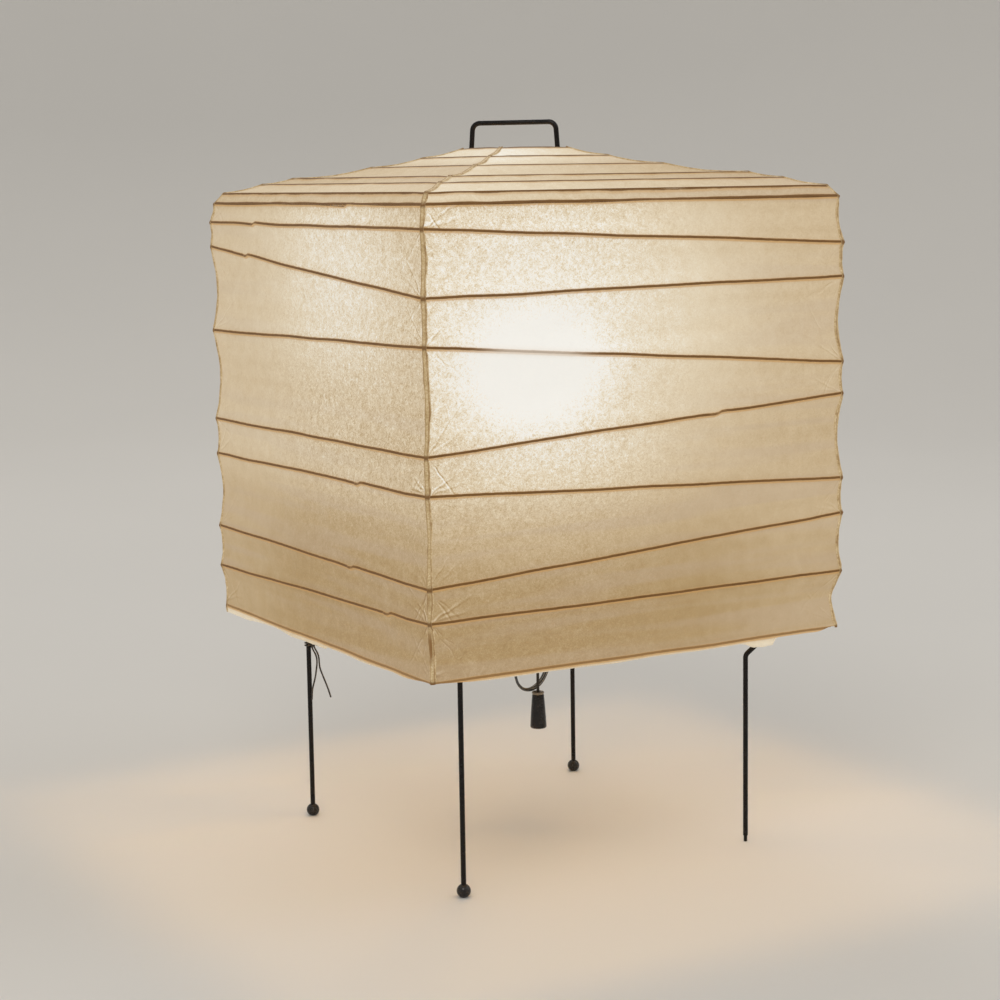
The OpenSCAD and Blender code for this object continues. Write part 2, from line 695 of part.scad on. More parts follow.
// Tube swept along a path, with its normals carried from ring to ring
function unit(v) = v / norm(v);
function tangent(p, i) =
  i == 0 ? unit(p[1] - p[0])
  : i == len(p) - 1 ? unit(p[i] - p[i - 1])
  : unit(unit(p[i + 1] - p[i]) + unit(p[i] - p[i - 1]));
function carried(p, n, i = 0) =
  i == len(p) ? []
  : let (t = tangent(p, i), m = unit(n - (n * t) * t)) concat([m], carried(p, m, i + 1));

module tube(path, r, sides, first_normal) {
  normals = carried(path, first_normal);
  points = [for (i = [0:len(path) - 1])
    let (m = normals[i], b = cross(tangent(path, i), m))
    for (k = [0:sides - 1]) path[i] + r * (cos(360 * k / sides) * m + sin(360 * k / sides) * b)];
  end = (len(path) - 1) * sides;
  faces = concat(
    [for (i = [0:len(path) - 2]) for (k = [0:sides - 1])
      let (p = i * sides + k, q = i * sides + (k + 1) % sides)
      each [[p, p + sides, q + sides], [p, q + sides, q]]],
    [for (k = [1:sides - 2]) [0, k, k + 1]],
    [for (k = [1:sides - 2]) [end, end + k + 1, end + k]]);
  polyhedron(points, faces);
}

// Least distance between points of a path that are at least a turn's half apart
function own_gap(path, skip, r) =
  min([for (i = [0:len(path) - 1 - skip]) for (k = [i + skip:len(path) - 1]) norm(path[i] - path[k])])
  - 2 * r;

// Return spring between the bell mouth and the collar on the cord
spring_turns = 4;
spring_ring = 12;
spring_r = 1.75;
spring_wire_r = 0.25;
spring_low = floor_z + bell_t + spring_wire_r + slip_gap;
spring_high = collar_z - spring_wire_r - slip_gap;
spring_path = [for (n = [0:spring_turns * spring_ring]) let (a = 360 * n / spring_ring)
  [cord_x + spring_r * cos(a), spring_r * sin(a),
    mix(spring_low, spring_high, n / (spring_turns * spring_ring))]];
module return_spring() {
  color("silver") tube(spring_path, spring_wire_r, 6, [1, 0, 0]);
}

// Lead: out of the switch case, down in a drooping loop, and up into the gland on the back right arm
lead_route = [
  [1.5, 9.5, 90], [1.5, 9.5, 85.5], [1.8, 9.3, 81], [3, 8.7, 77], [5.4, 7.6, 74.4],
  [8.4, 6.2, 74], [11.5, 4.7, 75.6], [14, 3, 78.8], [15.8, 1.8, 83], [17.2, 1.2, 87.6],
  [18.4, 1.3, 92], [19.2, 2.8, 97], [19.5, 5.2, 101.5], [19.2, 8.2, 105.5], [18.6, 11.5, 109],
  [18.4, 14.8, 112], [19.2, 18, 114.3], [21, 21, 115.6], [23.6, 23.6, 115.8]];
module lead_loop() {
  color("#1b1917") tube(lead_route, lead_r, 8, [1, 0, 0]);
}

gland_from = 30;
gland_to = 44;
outlet_l = 8;
lead_seat_l = 4.5;
gland_z = arm_z - wire_r - hold_gap - gland_r;
module lead_gland() {
  color("#22201f") rotate([0, 0, 45]) difference() {
    rod([gland_from, 0, gland_z], [gland_to, 0, gland_z], gland_r);
    rod([gland_from - through, 0, gland_z], [gland_from + lead_seat_l, 0, gland_z], lead_r + slip_gap);
    rod([gland_to - outlet_l, 0, gland_z], [gland_to + through, 0, gland_z], outlet_r);
  }
}

// String wound round the back left leg under its bend, with two loose tails
string_steps = 24;
string_coil_r = wire_r + string_r + hold_gap;
string_gap = 0.45;
string_pitch = 2 * string_r + string_gap;
string_top = leg_bend_z[3] - 1;
string_path = [for (n = [0:string_turns * string_steps]) let (a = -60 - 360 * n / string_steps)
  [-leg_at + string_coil_r * cos(a), leg_at + string_coil_r * sin(a),
    string_top - string_pitch * n / string_steps]];
module tie_wraps() {
  echo(least_gap = own_gap(string_path, string_steps / 2, string_r));
  color("#1b1917") tube(string_path, string_r, 6, [1, 0, 0]);
}

// Routes of the tails, measured from the back left leg's axis at the floor
tail_a_route = [
  [0.7, -2.4, 96], [1.2, -3.2, 93.5], [2.2, -3.8, 91.2], [2.8, -4.1, 88.5], [2.8, -4.1, 85.5],
  [2.4, -4, 82.5], [2, -3.8, 79.5], [1.4, -3.5, 76.5], [0.7, -3.1, 73.5], [0.2, -2.8, 70.5],
  [0, -2.6, 66]];
tail_b_route = [
  [1.9, -2.2, 96], [2.4, -3.2, 94], [3.4, -4, 91.6], [4, -4.3, 88.8], [4.1, -4.4, 86],
  [4.4, -4.6, 83.2], [5.2, -5, 80.4], [6.1, -5.5, 77.6], [7, -6, 74.8], [7.9, -6.6, 71.8],
  [8.6, -7.1, 69], [9.1, -7.4, 67]];
module tail(route) {
  color("#1b1917") tube([for (p = route) p + [-leg_at, leg_at, 0]], string_r, 8, [1, 0, 0]);
}

module tie_tail_a() {
  tail(tail_a_route);
}

module tie_tail_b() {
  tail(tail_b_route);
}

side_panel(0);  // paper_front
side_panel(1);  // paper_right
side_panel(2);  // paper_back
side_panel(3);  // paper_left
roof_panel(0);  // roof_front
roof_panel(1);  // roof_right
roof_panel(2);  // roof_back
roof_panel(3);  // roof_left
corner_seam(0);  // seam_front_left
corner_seam(1);  // seam_front_right
corner_seam(2);  // seam_back_right
corner_seam(3);  // seam_back_left
side_rib(0);  // rib_1
side_rib(1);  // rib_2
side_rib(2);  // rib_3
side_rib(3);  // rib_4
side_rib(4);  // rib_5
side_rib(5);  // rib_6
side_rib(6);  // rib_7
side_rib(7);  // rib_8
side_rib(8);  // rib_9
roof_rib(1);  // roof_rib_1
roof_rib(2);  // roof_rib_2
roof_rib(3);  // roof_rib_3
roof_rib(4);  // roof_rib_4
roof_rib(5);  // roof_rib_5
rim_ring();
frame_arms();
frame_hub();
leg(0, shoulder_z);  // leg_front_left
leg(1, spigot_l);  // leg_front_right
leg(2, shoulder_z);  // leg_back_right
leg(3, shoulder_z);  // leg_back_left
ball_foot(0);  // foot_front_left
ball_foot(2);  // foot_back_right
ball_foot(3);  // foot_back_left
stretcher();
rim_hooks();
upright_sockets();
holder_shell();
holder_core();
screw_shell();
centre_contact();
nipple();
nipple_nuts();
bulb_glass();
bulb_cap();
switch_case();
switch_lid();
bell_mouth();
pull_lever();
lever_pin();
return_spring();
pull_cord();
pull_knob();
lead_loop();
lead_gland();
tie_wraps();
tie_tail_a();
tie_tail_b();
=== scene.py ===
"""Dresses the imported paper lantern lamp: washi over bamboo hoops, black wire, cords and studio.

The file is laid out as an add-on and is run as a script. Lengths in the functions are in
millimetres, as a maker draws them, and become metres when a mesh is made.
"""

import json
import math
import bmesh
import bpy
import numpy as np
from mathutils import Matrix, Vector

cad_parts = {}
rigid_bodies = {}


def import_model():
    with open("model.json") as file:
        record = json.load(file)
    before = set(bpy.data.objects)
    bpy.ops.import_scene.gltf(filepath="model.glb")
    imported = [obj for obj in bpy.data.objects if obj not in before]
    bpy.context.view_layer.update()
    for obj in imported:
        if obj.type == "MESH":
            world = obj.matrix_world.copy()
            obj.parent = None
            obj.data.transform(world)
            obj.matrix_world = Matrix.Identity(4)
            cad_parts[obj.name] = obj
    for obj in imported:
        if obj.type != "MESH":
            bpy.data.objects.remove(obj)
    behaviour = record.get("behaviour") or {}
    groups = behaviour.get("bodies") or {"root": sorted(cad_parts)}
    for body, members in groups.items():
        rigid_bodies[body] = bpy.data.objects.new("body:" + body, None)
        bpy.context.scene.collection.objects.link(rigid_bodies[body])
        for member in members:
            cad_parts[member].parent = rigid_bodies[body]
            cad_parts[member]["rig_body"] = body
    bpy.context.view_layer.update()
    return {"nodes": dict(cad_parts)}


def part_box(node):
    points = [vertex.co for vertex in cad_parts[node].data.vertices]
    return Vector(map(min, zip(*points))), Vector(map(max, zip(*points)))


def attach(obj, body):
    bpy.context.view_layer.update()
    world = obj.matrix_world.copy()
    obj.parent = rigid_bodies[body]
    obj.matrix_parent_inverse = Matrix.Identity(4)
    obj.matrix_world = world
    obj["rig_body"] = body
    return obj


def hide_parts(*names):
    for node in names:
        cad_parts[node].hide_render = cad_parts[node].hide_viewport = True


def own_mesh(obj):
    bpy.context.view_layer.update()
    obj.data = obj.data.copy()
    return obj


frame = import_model()

bl_info = {
    "name": "Paper lantern lamp",
    "version": (1, 0, 0),
    "blender": (4, 5, 0),
    "location": "3D View > Sidebar > Lantern",
    "description": "Washi shade, bamboo hoops, wire frame, cords and studio of a paper lantern lamp",
    "category": "Object",
}

MM = 0.001

# Sides and corners go round from the front and the front left
SIDES = ("front", "right", "back", "left")
FRONT, BACK, LEFT = 0, 2, 3
CORNER_NAMES = ("front_left", "front_right", "back_right", "back_left")
FRONT_LEFT, BACK_LEFT = 0, 3
CORNERS = np.array([[-1, -1], [1, -1], [1, 1], [-1, 1]], float)

# The hoops, the same as in the drawing: the bottom one's height, each band's rise at the four corners, the
# hoops' half widths, and for each hoop the side and the share along it where its ends are bound
BOTTOM_RIB = 119.0
RISES = np.array([
    [26, 27, 20, 20], [16, 30, 37, 22], [43, 18, 16, 40], [18, 43, 44, 19],
    [50, 16, 15, 48], [22, 43, 52, 45], [31, 17, 13, 13], [11, 23, 20, 10]], float)
BANDS = len(RISES)
RIB_Z = np.vstack([np.full(4, BOTTOM_RIB), BOTTOM_RIB + np.cumsum(RISES, 0)])
RIB_HALF = np.array([118.2] + [120.0] * (BANDS - 1) + [118.2])
SPLICES = ((2, 0.5), (3, 0.84), (3, 0.68), (3, 0.72), (0, 0.68), (2, 0.4), (3, 0.2), (3, 0.24), (3, 0.68))
SIDE_RIBS = [f"rib_{n}" for n in range(1, BANDS + 2)]

# The roof from the eave to its opening, as shares of the run inwards and of the lift
ROOF_RUN = np.array([0, 0.04, 0.2, 0.325, 0.64, 0.845, 1])
ROOF_LIFT = np.array([0, 0.2, 0.36, 0.47, 0.66, 0.83, 1])
ROOF_BANDS = len(ROOF_RUN) - 1
ROOF_RIBS = [f"roof_rib_{n}" for n in range(1, ROOF_BANDS)] + ["rim_ring"]
EAVE_Z, EAVE_HALF = RIB_Z[-1], RIB_HALF[-1]
RIM_Z, RIM_HALF = EAVE_Z.mean() + 26.5, 19.98

# The paper: thickness, sag as a share of a band, gap to the corner, lip below the bottom hoop, how far that
# hoop's line shows below it, and a height far off a hoop
PAPER_T = 0.4
PAPER_SAG = 0.05
MARGIN = PAPER_T + 0.1
LIP = 2.6
LINE_DROP = 2.4
FAR = 99.0

# Below the shade: the legs' places and the collar's place over the spring
LEG_AT = 85.0
COLLAR_LIFT = 0.15


# Shapes worked out as whole arrays

def mix(a, b, t):
    """a + (b - a) t"""
    return a + (b - a) * t


def ease(x, low, high):
    """Smooth step: 3t^2 - 2t^3 of t, the clipped share of x from low to high."""
    t = np.clip((x - low) / (high - low), 0, 1)
    return t * t * (3 - 2 * t)


def bell(x, wide, power=2):
    """e to the minus (x / wide) to the power"""
    return np.exp(-(x / wide) ** power)


def waver(seed, x, length, size=1.0):
    """Sum of four sines along x with wavelengths from length downwards, and a height of about size."""
    rng = np.random.default_rng(seed)
    total = sum(np.sin(2 * np.pi * x / (length / (1 + 0.83 * n)) + rng.uniform(0, 2 * np.pi)) / (1 + 0.6 * n)
                for n in range(4))
    return total * size / 2


def ripple(seed, x, z, low, high, size):
    """Sum of ten plane waves over x and z, wavelengths between low and high, with a height of about size."""
    rng = np.random.default_rng(seed)
    total = 0
    for n in range(10):
        turn = rng.uniform(-0.5, 0.5) + (0 if n % 2 else np.pi / 2)
        k = 2 * np.pi / rng.uniform(low, high)
        total = total + np.sin(k * (x * np.cos(turn) + z * np.sin(turn)) + rng.uniform(0, 2 * np.pi))
    return total * size / 10 ** 0.5


def grid_faces(rows, cols, start=0, round_it=False):
    """Quads between the neighbours of a grid of rows by cols points, closed round the columns if asked."""
    r, c = np.meshgrid(np.arange(rows - 1), np.arange(cols if round_it else cols - 1), indexing="ij")
    a, b = r * cols + c, r * cols + (c + 1) % cols
    return np.stack([a, b, b + cols, a + cols], -1).reshape(-1, 4) + start


def skin_faces(rows, cols):
    """Quads of two grids, the outer then the inner, joined round their four edges into a closed sheet."""
    o, last = rows * cols, (rows - 1) * cols
    top, side = np.arange(cols - 1), np.arange(rows - 1) * cols
    end = side + cols - 1
    return np.vstack([
        grid_faces(rows, cols),
        grid_faces(rows, cols, o)[:, ::-1],
        np.stack([top + 1, top, o + top, o + top + 1], -1),
        np.stack([last + top, last + top + 1, o + last + top + 1, o + last + top], -1),
        np.stack([side, side + cols, o + side + cols, o + side], -1),
        np.stack([end + cols, end, o + end, o + end + cols], -1)])


def capped_faces(rows, cols):
    """Triangles of a tube of rows by cols points whose two end points follow it in the list."""
    quads = grid_faces(rows, cols, round_it=True)
    n, last, tip = np.arange(cols), (rows - 1) * cols, rows * cols
    return np.vstack([
        quads[:, [0, 1, 2]], quads[:, [0, 2, 3]],
        np.stack([np.full(cols, tip), (n + 1) % cols, n], -1),
        np.stack([np.full(cols, tip + 1), last + n, last + (n + 1) % cols], -1)])


def make_mesh(name, points, faces):
    """A smooth mesh from an array of points in millimetres and one of faces with equal corner counts."""
    points, faces = np.asarray(points, np.float32).reshape(-1, 3) * MM, np.asarray(faces, np.int32)
    mesh = bpy.data.meshes.new(name)
    mesh.vertices.add(len(points))
    mesh.vertices.foreach_set("co", points.ravel())
    mesh.loops.add(faces.size)
    mesh.loops.foreach_set("vertex_index", faces.ravel())
    mesh.polygons.add(len(faces))
    mesh.polygons.foreach_set("loop_start", np.arange(len(faces), dtype=np.int32) * faces.shape[1])
    mesh.polygons.foreach_set("use_smooth", np.ones(len(faces), bool))
    mesh.update(calc_edges=True)
    return mesh


def make_piece(name, points, faces, finish, body="lamp", stands_for=(), marks=None):
    """A piece from points and faces, with its marks as numbers at each point."""
    mesh = make_mesh(name, points, faces)
    for mark, values in (marks or {}).items():
        layer = mesh.attributes.new(mark, "FLOAT", "POINT")
        layer.data.foreach_set("value", np.asarray(values, np.float32).ravel())
    return placed(name, mesh, finish, body, stands_for)


def placed(name, mesh, finish, body, stands_for):
    """Puts a mesh into the scene on its body, with its finish and the nodes that it stands for."""
    mesh.materials.append(finish)
    piece = bpy.data.objects.new(name, mesh)
    bpy.context.scene.collection.objects.link(piece)
    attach(piece, body)
    if stands_for:
        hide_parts(*stands_for)
    return piece


def facing_out(piece):
    """Turns the faces of a closed mesh outwards."""
    work = bmesh.new()
    work.from_mesh(piece.data)
    bmesh.ops.recalc_face_normals(work, faces=work.faces)
    work.to_mesh(piece.data)
    work.free()
    return piece


def smooth_path(points, steps=8):
    """Points along a curve through the given ones: on each stretch a cubic whose slope at a point is half
    the step between the point's neighbours."""
    p = np.asarray(points, float)
    ends = np.vstack([2 * p[0] - p[1], p, 2 * p[-1] - p[-2]])
    t = (np.arange(steps) / steps)[None, :, None]
    a, b, c, d = (ends[n:n + len(p) - 1][:, None, :] for n in range(4))
    curve = 0.5 * (
        2 * b + (c - a) * t + (2 * a - 5 * b + 4 * c - d) * t ** 2 + (3 * b - a - 3 * c + d) * t ** 3)
    return np.vstack([curve.reshape(-1, 3), p[-1:]])


def path_frames(path, first):
    """Tangent, carried normal and their cross product at each point of a path."""
    step = np.diff(path, axis=0)
    step /= np.linalg.norm(step, axis=1)[:, None]
    tangent = np.vstack([step[:1], step[1:] + step[:-1], step[-1:]])
    tangent /= np.linalg.norm(tangent, axis=1)[:, None]
    normals = []
    normal = np.asarray(first, float)
    for t in tangent:
        normal = normal - t * (normal @ t)
        normal = normal / np.linalg.norm(normal)
        normals.append(normal)
    normal = np.array(normals)
    return tangent, normal, np.cross(tangent, normal)


def path_reach(path):
    """Distance along a path at each of its points."""
    return np.concatenate([[0], np.cumsum(np.linalg.norm(np.diff(path, axis=0), axis=1))])


def swept(path, section, first, grow=None, twist=0.0):
    """Points of a closed section, given as pairs across the normal and its cross product, carried along a
    path while it turns by the twist, with rounded ends drawn in to a point."""
    tangent, normal, cross = path_frames(path, first)
    c, s = (f(twist + np.zeros(len(path)))[:, None] for f in (np.cos, np.sin))
    normal, cross = c * normal + s * cross, c * cross - s * normal
    grow = np.ones(len(path)) if grow is None else grow
    around = section[None, :, :1] * normal[:, None] + section[None, :, 1:] * cross[:, None]
    rings = [path[:, None] + grow[:, None, None] * around]
    shares = np.array([0.35, 0.7, 0.92, 1.0])
    drawn_in = np.sqrt(np.clip(1 - shares ** 2, 0.0004, 1))
    for end, way in ((0, -1), (-1, 1)):
        middles = path[end] + way * tangent[end] * np.abs(section).max() * 0.6 * shares[:, None]
        cap = middles[:, None] + (drawn_in * grow[end])[:, None, None] * around[end]
        rings.insert(0, cap[::-1]) if way < 0 else rings.append(cap)
    points = np.concatenate(rings)
    rows, cols = points.shape[:2]
    return np.vstack([points.reshape(-1, 3), points[[0, -1]].mean(1)]), capped_faces(rows, cols), rows, cols


def turned(profile, at=(0, 0), sides=64):
    """Points and faces of a profile of radius and height turned about a vertical axis, its ends on the axis."""
    profile = np.asarray(profile, float)
    turn = np.arange(sides) * 2 * np.pi / sides
    inner = profile[1:-1]
    ring = np.stack([
        at[0] + inner[:, :1] * np.cos(turn), at[1] + inner[:, :1] * np.sin(turn),
        np.repeat(inner[:, 1:], sides, 1)], -1).reshape(-1, 3)
    tips = [[at[0], at[1], profile[end, 1]] for end in (0, -1)]
    return np.vstack([ring, tips]), capped_faces(len(inner), sides)


# Finishes

class Field:
    """A shader node's output that can be added, taken away, multiplied and made positive as a number can."""

    def __init__(self, finish, socket):
        self.finish, self.socket = finish, socket

    def __add__(self, other):
        return self.finish.math("ADD", self, other)

    def __sub__(self, other):
        return self.finish.math("SUBTRACT", self, other)

    def __rsub__(self, other):
        return self.finish.math("SUBTRACT", other, self)

    def __mul__(self, other):
        return self.finish.math("MULTIPLY", self, other)

    def __abs__(self):
        return self.finish.math("ABSOLUTE", self)


class Finish:
    """A material being mixed: each call adds a shader node and hands back its output."""

    def __init__(self, name):
        self.material = bpy.data.materials.new(name)
        self.material.use_nodes = True
        self.tree = self.material.node_tree
        self.tree.nodes.clear()
        self.place = self.add("ShaderNodeTexCoord", {}, "Object")

    def add(self, kind, inputs, output=0, **settings):
        """Adds a node, sets or joins its inputs by name or place and hands back one of its outputs."""
        made = self.tree.nodes.new(kind)
        for name, value in settings.items():
            setattr(made, name, value)
        for name, value in inputs.items():
            if isinstance(value, Field):
                self.tree.links.new(value.socket, made.inputs[name])
            else:
                made.inputs[name].default_value = value
        return Field(self, made.outputs[output])

    def math(self, kind, a, b=0.0):
        return self.add("ShaderNodeMath", {0: a, 1: b}, operation=kind)

    def mark(self, name):
        """A number that the mesh holds at each point."""
        return self.add("ShaderNodeAttribute", {}, "Fac", attribute_name=name)

    def height(self):
        """Height above the floor in metres."""
        return self.add("ShaderNodeSeparateXYZ", {0: self.place}, "Z")

    def noise(self, size, detail=2.0, rough=0.5, distort=0.0, drawn=None):
        """Smooth noise whose features are about size millimetres across, or longer in a direction where drawn,
        the share of each coordinate, is less than one."""
        at = self.place
        if drawn is not None:
            at = self.add("ShaderNodeMapping", {"Vector": at, "Scale": drawn})
        return self.add("ShaderNodeTexNoise", {
            "Vector": at, "Scale": 1 / (size * MM), "Detail": detail, "Roughness": rough,
            "Distortion": distort}, "Fac")

    def cells(self, size):
        """Distance in a pattern of cells about size millimetres across."""
        return self.add("ShaderNodeTexVoronoi", {"Vector": self.place, "Scale": 1 / (size * MM)}, "Distance")

    def step(self, value, low, high, first=0.0, last=1.0):
        """Eases from first to last while value goes from low to high."""
        return self.add(
            "ShaderNodeMapRange",
            {"Value": value, "From Min": low, "From Max": high, "To Min": first, "To Max": last}, "Result",
            interpolation_type="SMOOTHSTEP")

    def line(self, value, level, full, gone, top=1.0):
        """Top where value is within full of the level, easing to nothing at gone from it."""
        return self.step(abs(value - level), full, gone, top, 0.0)

    def blend(self, share, a, b, way="MIX"):
        """Colour a with a share of b over it."""
        a, b = ((*colour, 1.0) if isinstance(colour, tuple) else colour for colour in (a, b))
        return self.add("ShaderNodeMix", {0: share, 6: a, 7: b}, 2, data_type="RGBA", blend_type=way)

    def ramp(self, share, *stops):
        """Colours at the given shares, one after the other."""
        made = self.add("ShaderNodeValToRGB", {0: share})
        band = made.socket.node.color_ramp
        while len(band.elements) < len(stops):
            band.elements.new(0.5)
        for element, (at, colour) in zip(band.elements, stops):
            element.position = at
            element.color = (*colour, 1.0)
        return made

    def done(self, height=None, size=0.0, strength=1.0, **sockets):
        """The material with its shader's sockets joined or set, and height as a relief of size millimetres."""
        inputs = {name.replace("_", " "): value for name, value in sockets.items()}
        if height is not None:
            inputs["Normal"] = self.add(
                "ShaderNodeBump", {"Height": height, "Distance": size * MM, "Strength": strength})
        skin = self.add("ShaderNodeBsdfPrincipled", inputs)
        self.tree.links.new(skin.socket, self.tree.nodes.new("ShaderNodeOutputMaterial").inputs["Surface"])
        return self.material


def corner_folds(f):
    """Painted highlight and shade of creases that slant away from the corner above and below each hoop: a pale
    line beside a dark one, added to the light, kinked and broken by noise, weaker with the distance from the
    corner."""
    up, down, out, tilt, crease = (f.mark(m) for m in ("up", "down", "out", "tilt", "crease"))
    kink = (f.noise(8) - 0.5) * 3.4
    folds = 0.0
    for rise, slope, weight in (
            (up, tilt, 1.0), (down, 1.9 - tilt, 0.9), (up, tilt * 0.42, 0.7), (down, tilt * 2.1, 0.6)):
        gap = (rise - out * slope) * 0.75 + kink
        folds = (f.line(gap, 0.95, 0.1, 0.75, 0.75) - f.line(gap, 0.0, 0.1, 0.6)) * weight + folds
    return folds * f.step(out, 2.0, 28.0, 1.0, 0.0) * crease * f.step(f.noise(7.5), 0.36, 0.56)


def washi(name, look, creased=True):
    """Kozo paper lit from behind: a cream ramp driven by the light that reaches each place, short fibres and
    clouds in it, soft laid bands that turn a duller grey as painted shade where the light is dim, the painted
    highlight and shade of creases that run off slanting from the corners, and, where a bamboo hoop shows
    through, the hoop's painted shade in the bulb's light: a brown line, partly the bamboo's own colour, with a
    honey edge and browner paper beside it."""
    f = Finish(name)
    glow, fleck, rib, off = (f.mark(m) for m in ("glow", "fleck", "rib", "off"))
    cloud, mottle, grit = f.noise(9, 3, 0.6), f.noise(3.6, 3, 0.65, 0.9), f.noise(1.0, 2, 0.7, 1.2)
    fibre = f.line(f.noise(2.1, 1.5, 0.6, 2.2), 0.5, 0.0, 0.06)
    pale_fibre = f.line(f.noise(2.6, 1.5, 0.6, 1.9), 0.46, 0.0, 0.045)
    long_fibre = f.line(f.noise(5.5, 1, 0.5, 1.2), 0.47, 0.0, 0.008)
    laid = f.noise(7.5, 1.2, drawn=(0.05, 0.05, 1.0))
    # Light that comes through: less where fibres lie, more where the sheet is thin
    grain = (grit - 0.5) * 0.9 + (mottle - 0.5) * 0.6 + pale_fibre * 0.14 - fibre * 0.20
    soft = ((cloud - 0.5) * 0.13 + (laid - 0.5) * 0.13) * f.step(glow, 0.72, 1.0, 1.0, 0.15)
    light = glow + grain * fleck + soft - long_fibre * 0.035
    height = grit * 0.35 + cloud * 0.5 + fibre * 0.25
    if creased:
        # Painted highlight and shade of the creases go into the light; the same lines make a relief
        folds = corner_folds(f)
        light, height = light + folds * 0.33, height + folds * 0.8
    paper = f.ramp(
        light, (0.0, (0.33, 0.20, 0.080)), (0.25, (0.46, 0.315, 0.150)), (0.5, (0.66, 0.515, 0.325)),
        (0.72, (0.82, 0.70, 0.51)), (0.88, (0.92, 0.855, 0.72)), (1.0, (0.97, 0.95, 0.895)))
    # Painted shade: the laid bands turn a duller pinkish grey where little light comes through
    dim_band_shade = f.step(laid, 0.44, 0.64) * f.step(glow, 0.42, 0.75, 0.30, 0.0)
    paper = f.blend(dim_band_shade, paper, (0.50, 0.375, 0.27))
    # The hoop's line, a painted shade where the hoop stands in the bulb's light, wanders a little, frays, and
    # pales where the light burns out
    gap = rib + (f.noise(3.5, 3, 0.6) - 0.5) * 0.36
    shown = f.step(off, 1.7, 2.3, 1.0, 0.0) * f.step(glow, 0.95, 1.5, 1.0, 0.45)
    core_width, edge_width, edge_share = (0.70, 1.30), (1.1, 2.1), 0.45
    if creased:
        core_width, edge_width, edge_share = (0.38, 0.80), (0.7, 1.6), 0.72
    # Painted shade beside each hoop: the paper darkens and browns towards its line
    paper = f.blend(f.step(off, 0.8, 3.6, 0.10, 0.0), paper, (0.62, 0.40, 0.19), "MULTIPLY")
    # The honey edge along the hoop's painted shade
    paper = f.blend(f.line(gap, -0.25, *edge_width) * shown * edge_share, paper, look["honey"])
    # The line's core: the bamboo's brown, darkened as painted shade where the hoop blocks the bulb's light
    split = f.noise(1.6, drawn=(0.15, 0.15, 1.0))
    hoop_shade_colour = f.blend(split * 0.6, look["rib"], look["rib_light"])
    paper = f.blend(f.line(gap, 0.12, *core_width) * shown * f.mark("tone"), paper, hoop_shade_colour)
    return f.done(
        height, 0.22, 0.6, Base_Color=f.blend(1.0, paper, (look["body"],) * 3, "MULTIPLY"),
        Emission_Color=paper, Emission_Strength=look["light"], Roughness=0.82, Specular_IOR_Level=0.25,
        Sheen_Weight=0.12, Sheen_Roughness=0.5)


def seam_paper(name, look):
    """The pasted strip over a corner, lit from behind: two brown edges, a honey middle and creased, glossier
    paste, with the hoops' ends showing brown through it, darkened as painted shade."""
    f = Finish(name)
    uneven, fine = f.noise(4, 3, 0.6), f.noise(0.8, 2, 0.6)
    wide = abs(f.mark("across")) + (uneven - 0.5) * 0.7
    middle = f.ramp(
        fine + (uneven - 0.5) * 0.8, (0.22, (0.42, 0.28, 0.125)), (0.5, (0.58, 0.425, 0.22)),
        (0.8, (0.78, 0.63, 0.40)))
    brown = f.ramp(uneven, (0.3, (0.25, 0.125, 0.04)), (0.7, (0.46, 0.29, 0.13)))
    colour = f.blend(f.line(wide, 0.66, 0.04, 0.3, 0.82), middle, brown)
    colour = f.blend(f.mark("lens"), colour, (0.27, 0.14, 0.045))
    # The hoops' ends show brown through the strip, darkened as painted shade in the bulb's light
    colour = f.blend(f.mark("cross"), colour, f.blend(0.45, look["rib"], look["rib_light"]))
    return f.done(
        fine + uneven, 0.3, 0.6, Base_Color=f.blend(1.0, colour, (look["body"],) * 3, "MULTIPLY"),
        Emission_Color=colour, Roughness=0.6, Emission_Strength=look["light"] * 0.9, Specular_IOR_Level=0.35)


def bamboo(name):
    """Split bamboo: long fine fibres, honey to brown, with darker burnt patches."""
    f = Finish(name)
    streak, patch = f.noise(1.2, 4, 0.6, 0.3, (0.08, 0.08, 1.0)), f.noise(24)
    colour = f.ramp(streak, (0.25, (0.20, 0.105, 0.035)), (0.5, (0.42, 0.25, 0.095)), (0.8, (0.62, 0.43, 0.20)))
    return f.done(
        streak, 0.12, 0.7, Base_Color=f.blend(f.step(patch, 0.45, 0.75), colour, (0.15, 0.075, 0.025)),
        Roughness=f.step(streak, 0.2, 0.8, 0.38, 0.62))


def black_enamel(name, dust):
    """Dipped black enamel on wire: small runs, fine orange peel, dust and a few places worn by rubbing."""
    f = Finish(name)
    runs, peel, worn = f.noise(14), f.noise(0.7), f.noise(5, 4, 0.7)
    colour = f.ramp(runs, (0.3, (0.0045, 0.0035, 0.0035)), (0.7, (0.011, 0.0085, 0.008)))
    return f.done(
        peel * 0.4 + runs, 0.08, 0.5,
        Base_Color=f.blend(f.step(worn, 0.62, 0.8) * dust, colour, (0.16, 0.11, 0.08)),
        Roughness=f.step(worn, 0.35, 0.75, 0.15, 0.4), Coat_Weight=0.06, Coat_Roughness=0.12,
        Specular_IOR_Level=0.2)


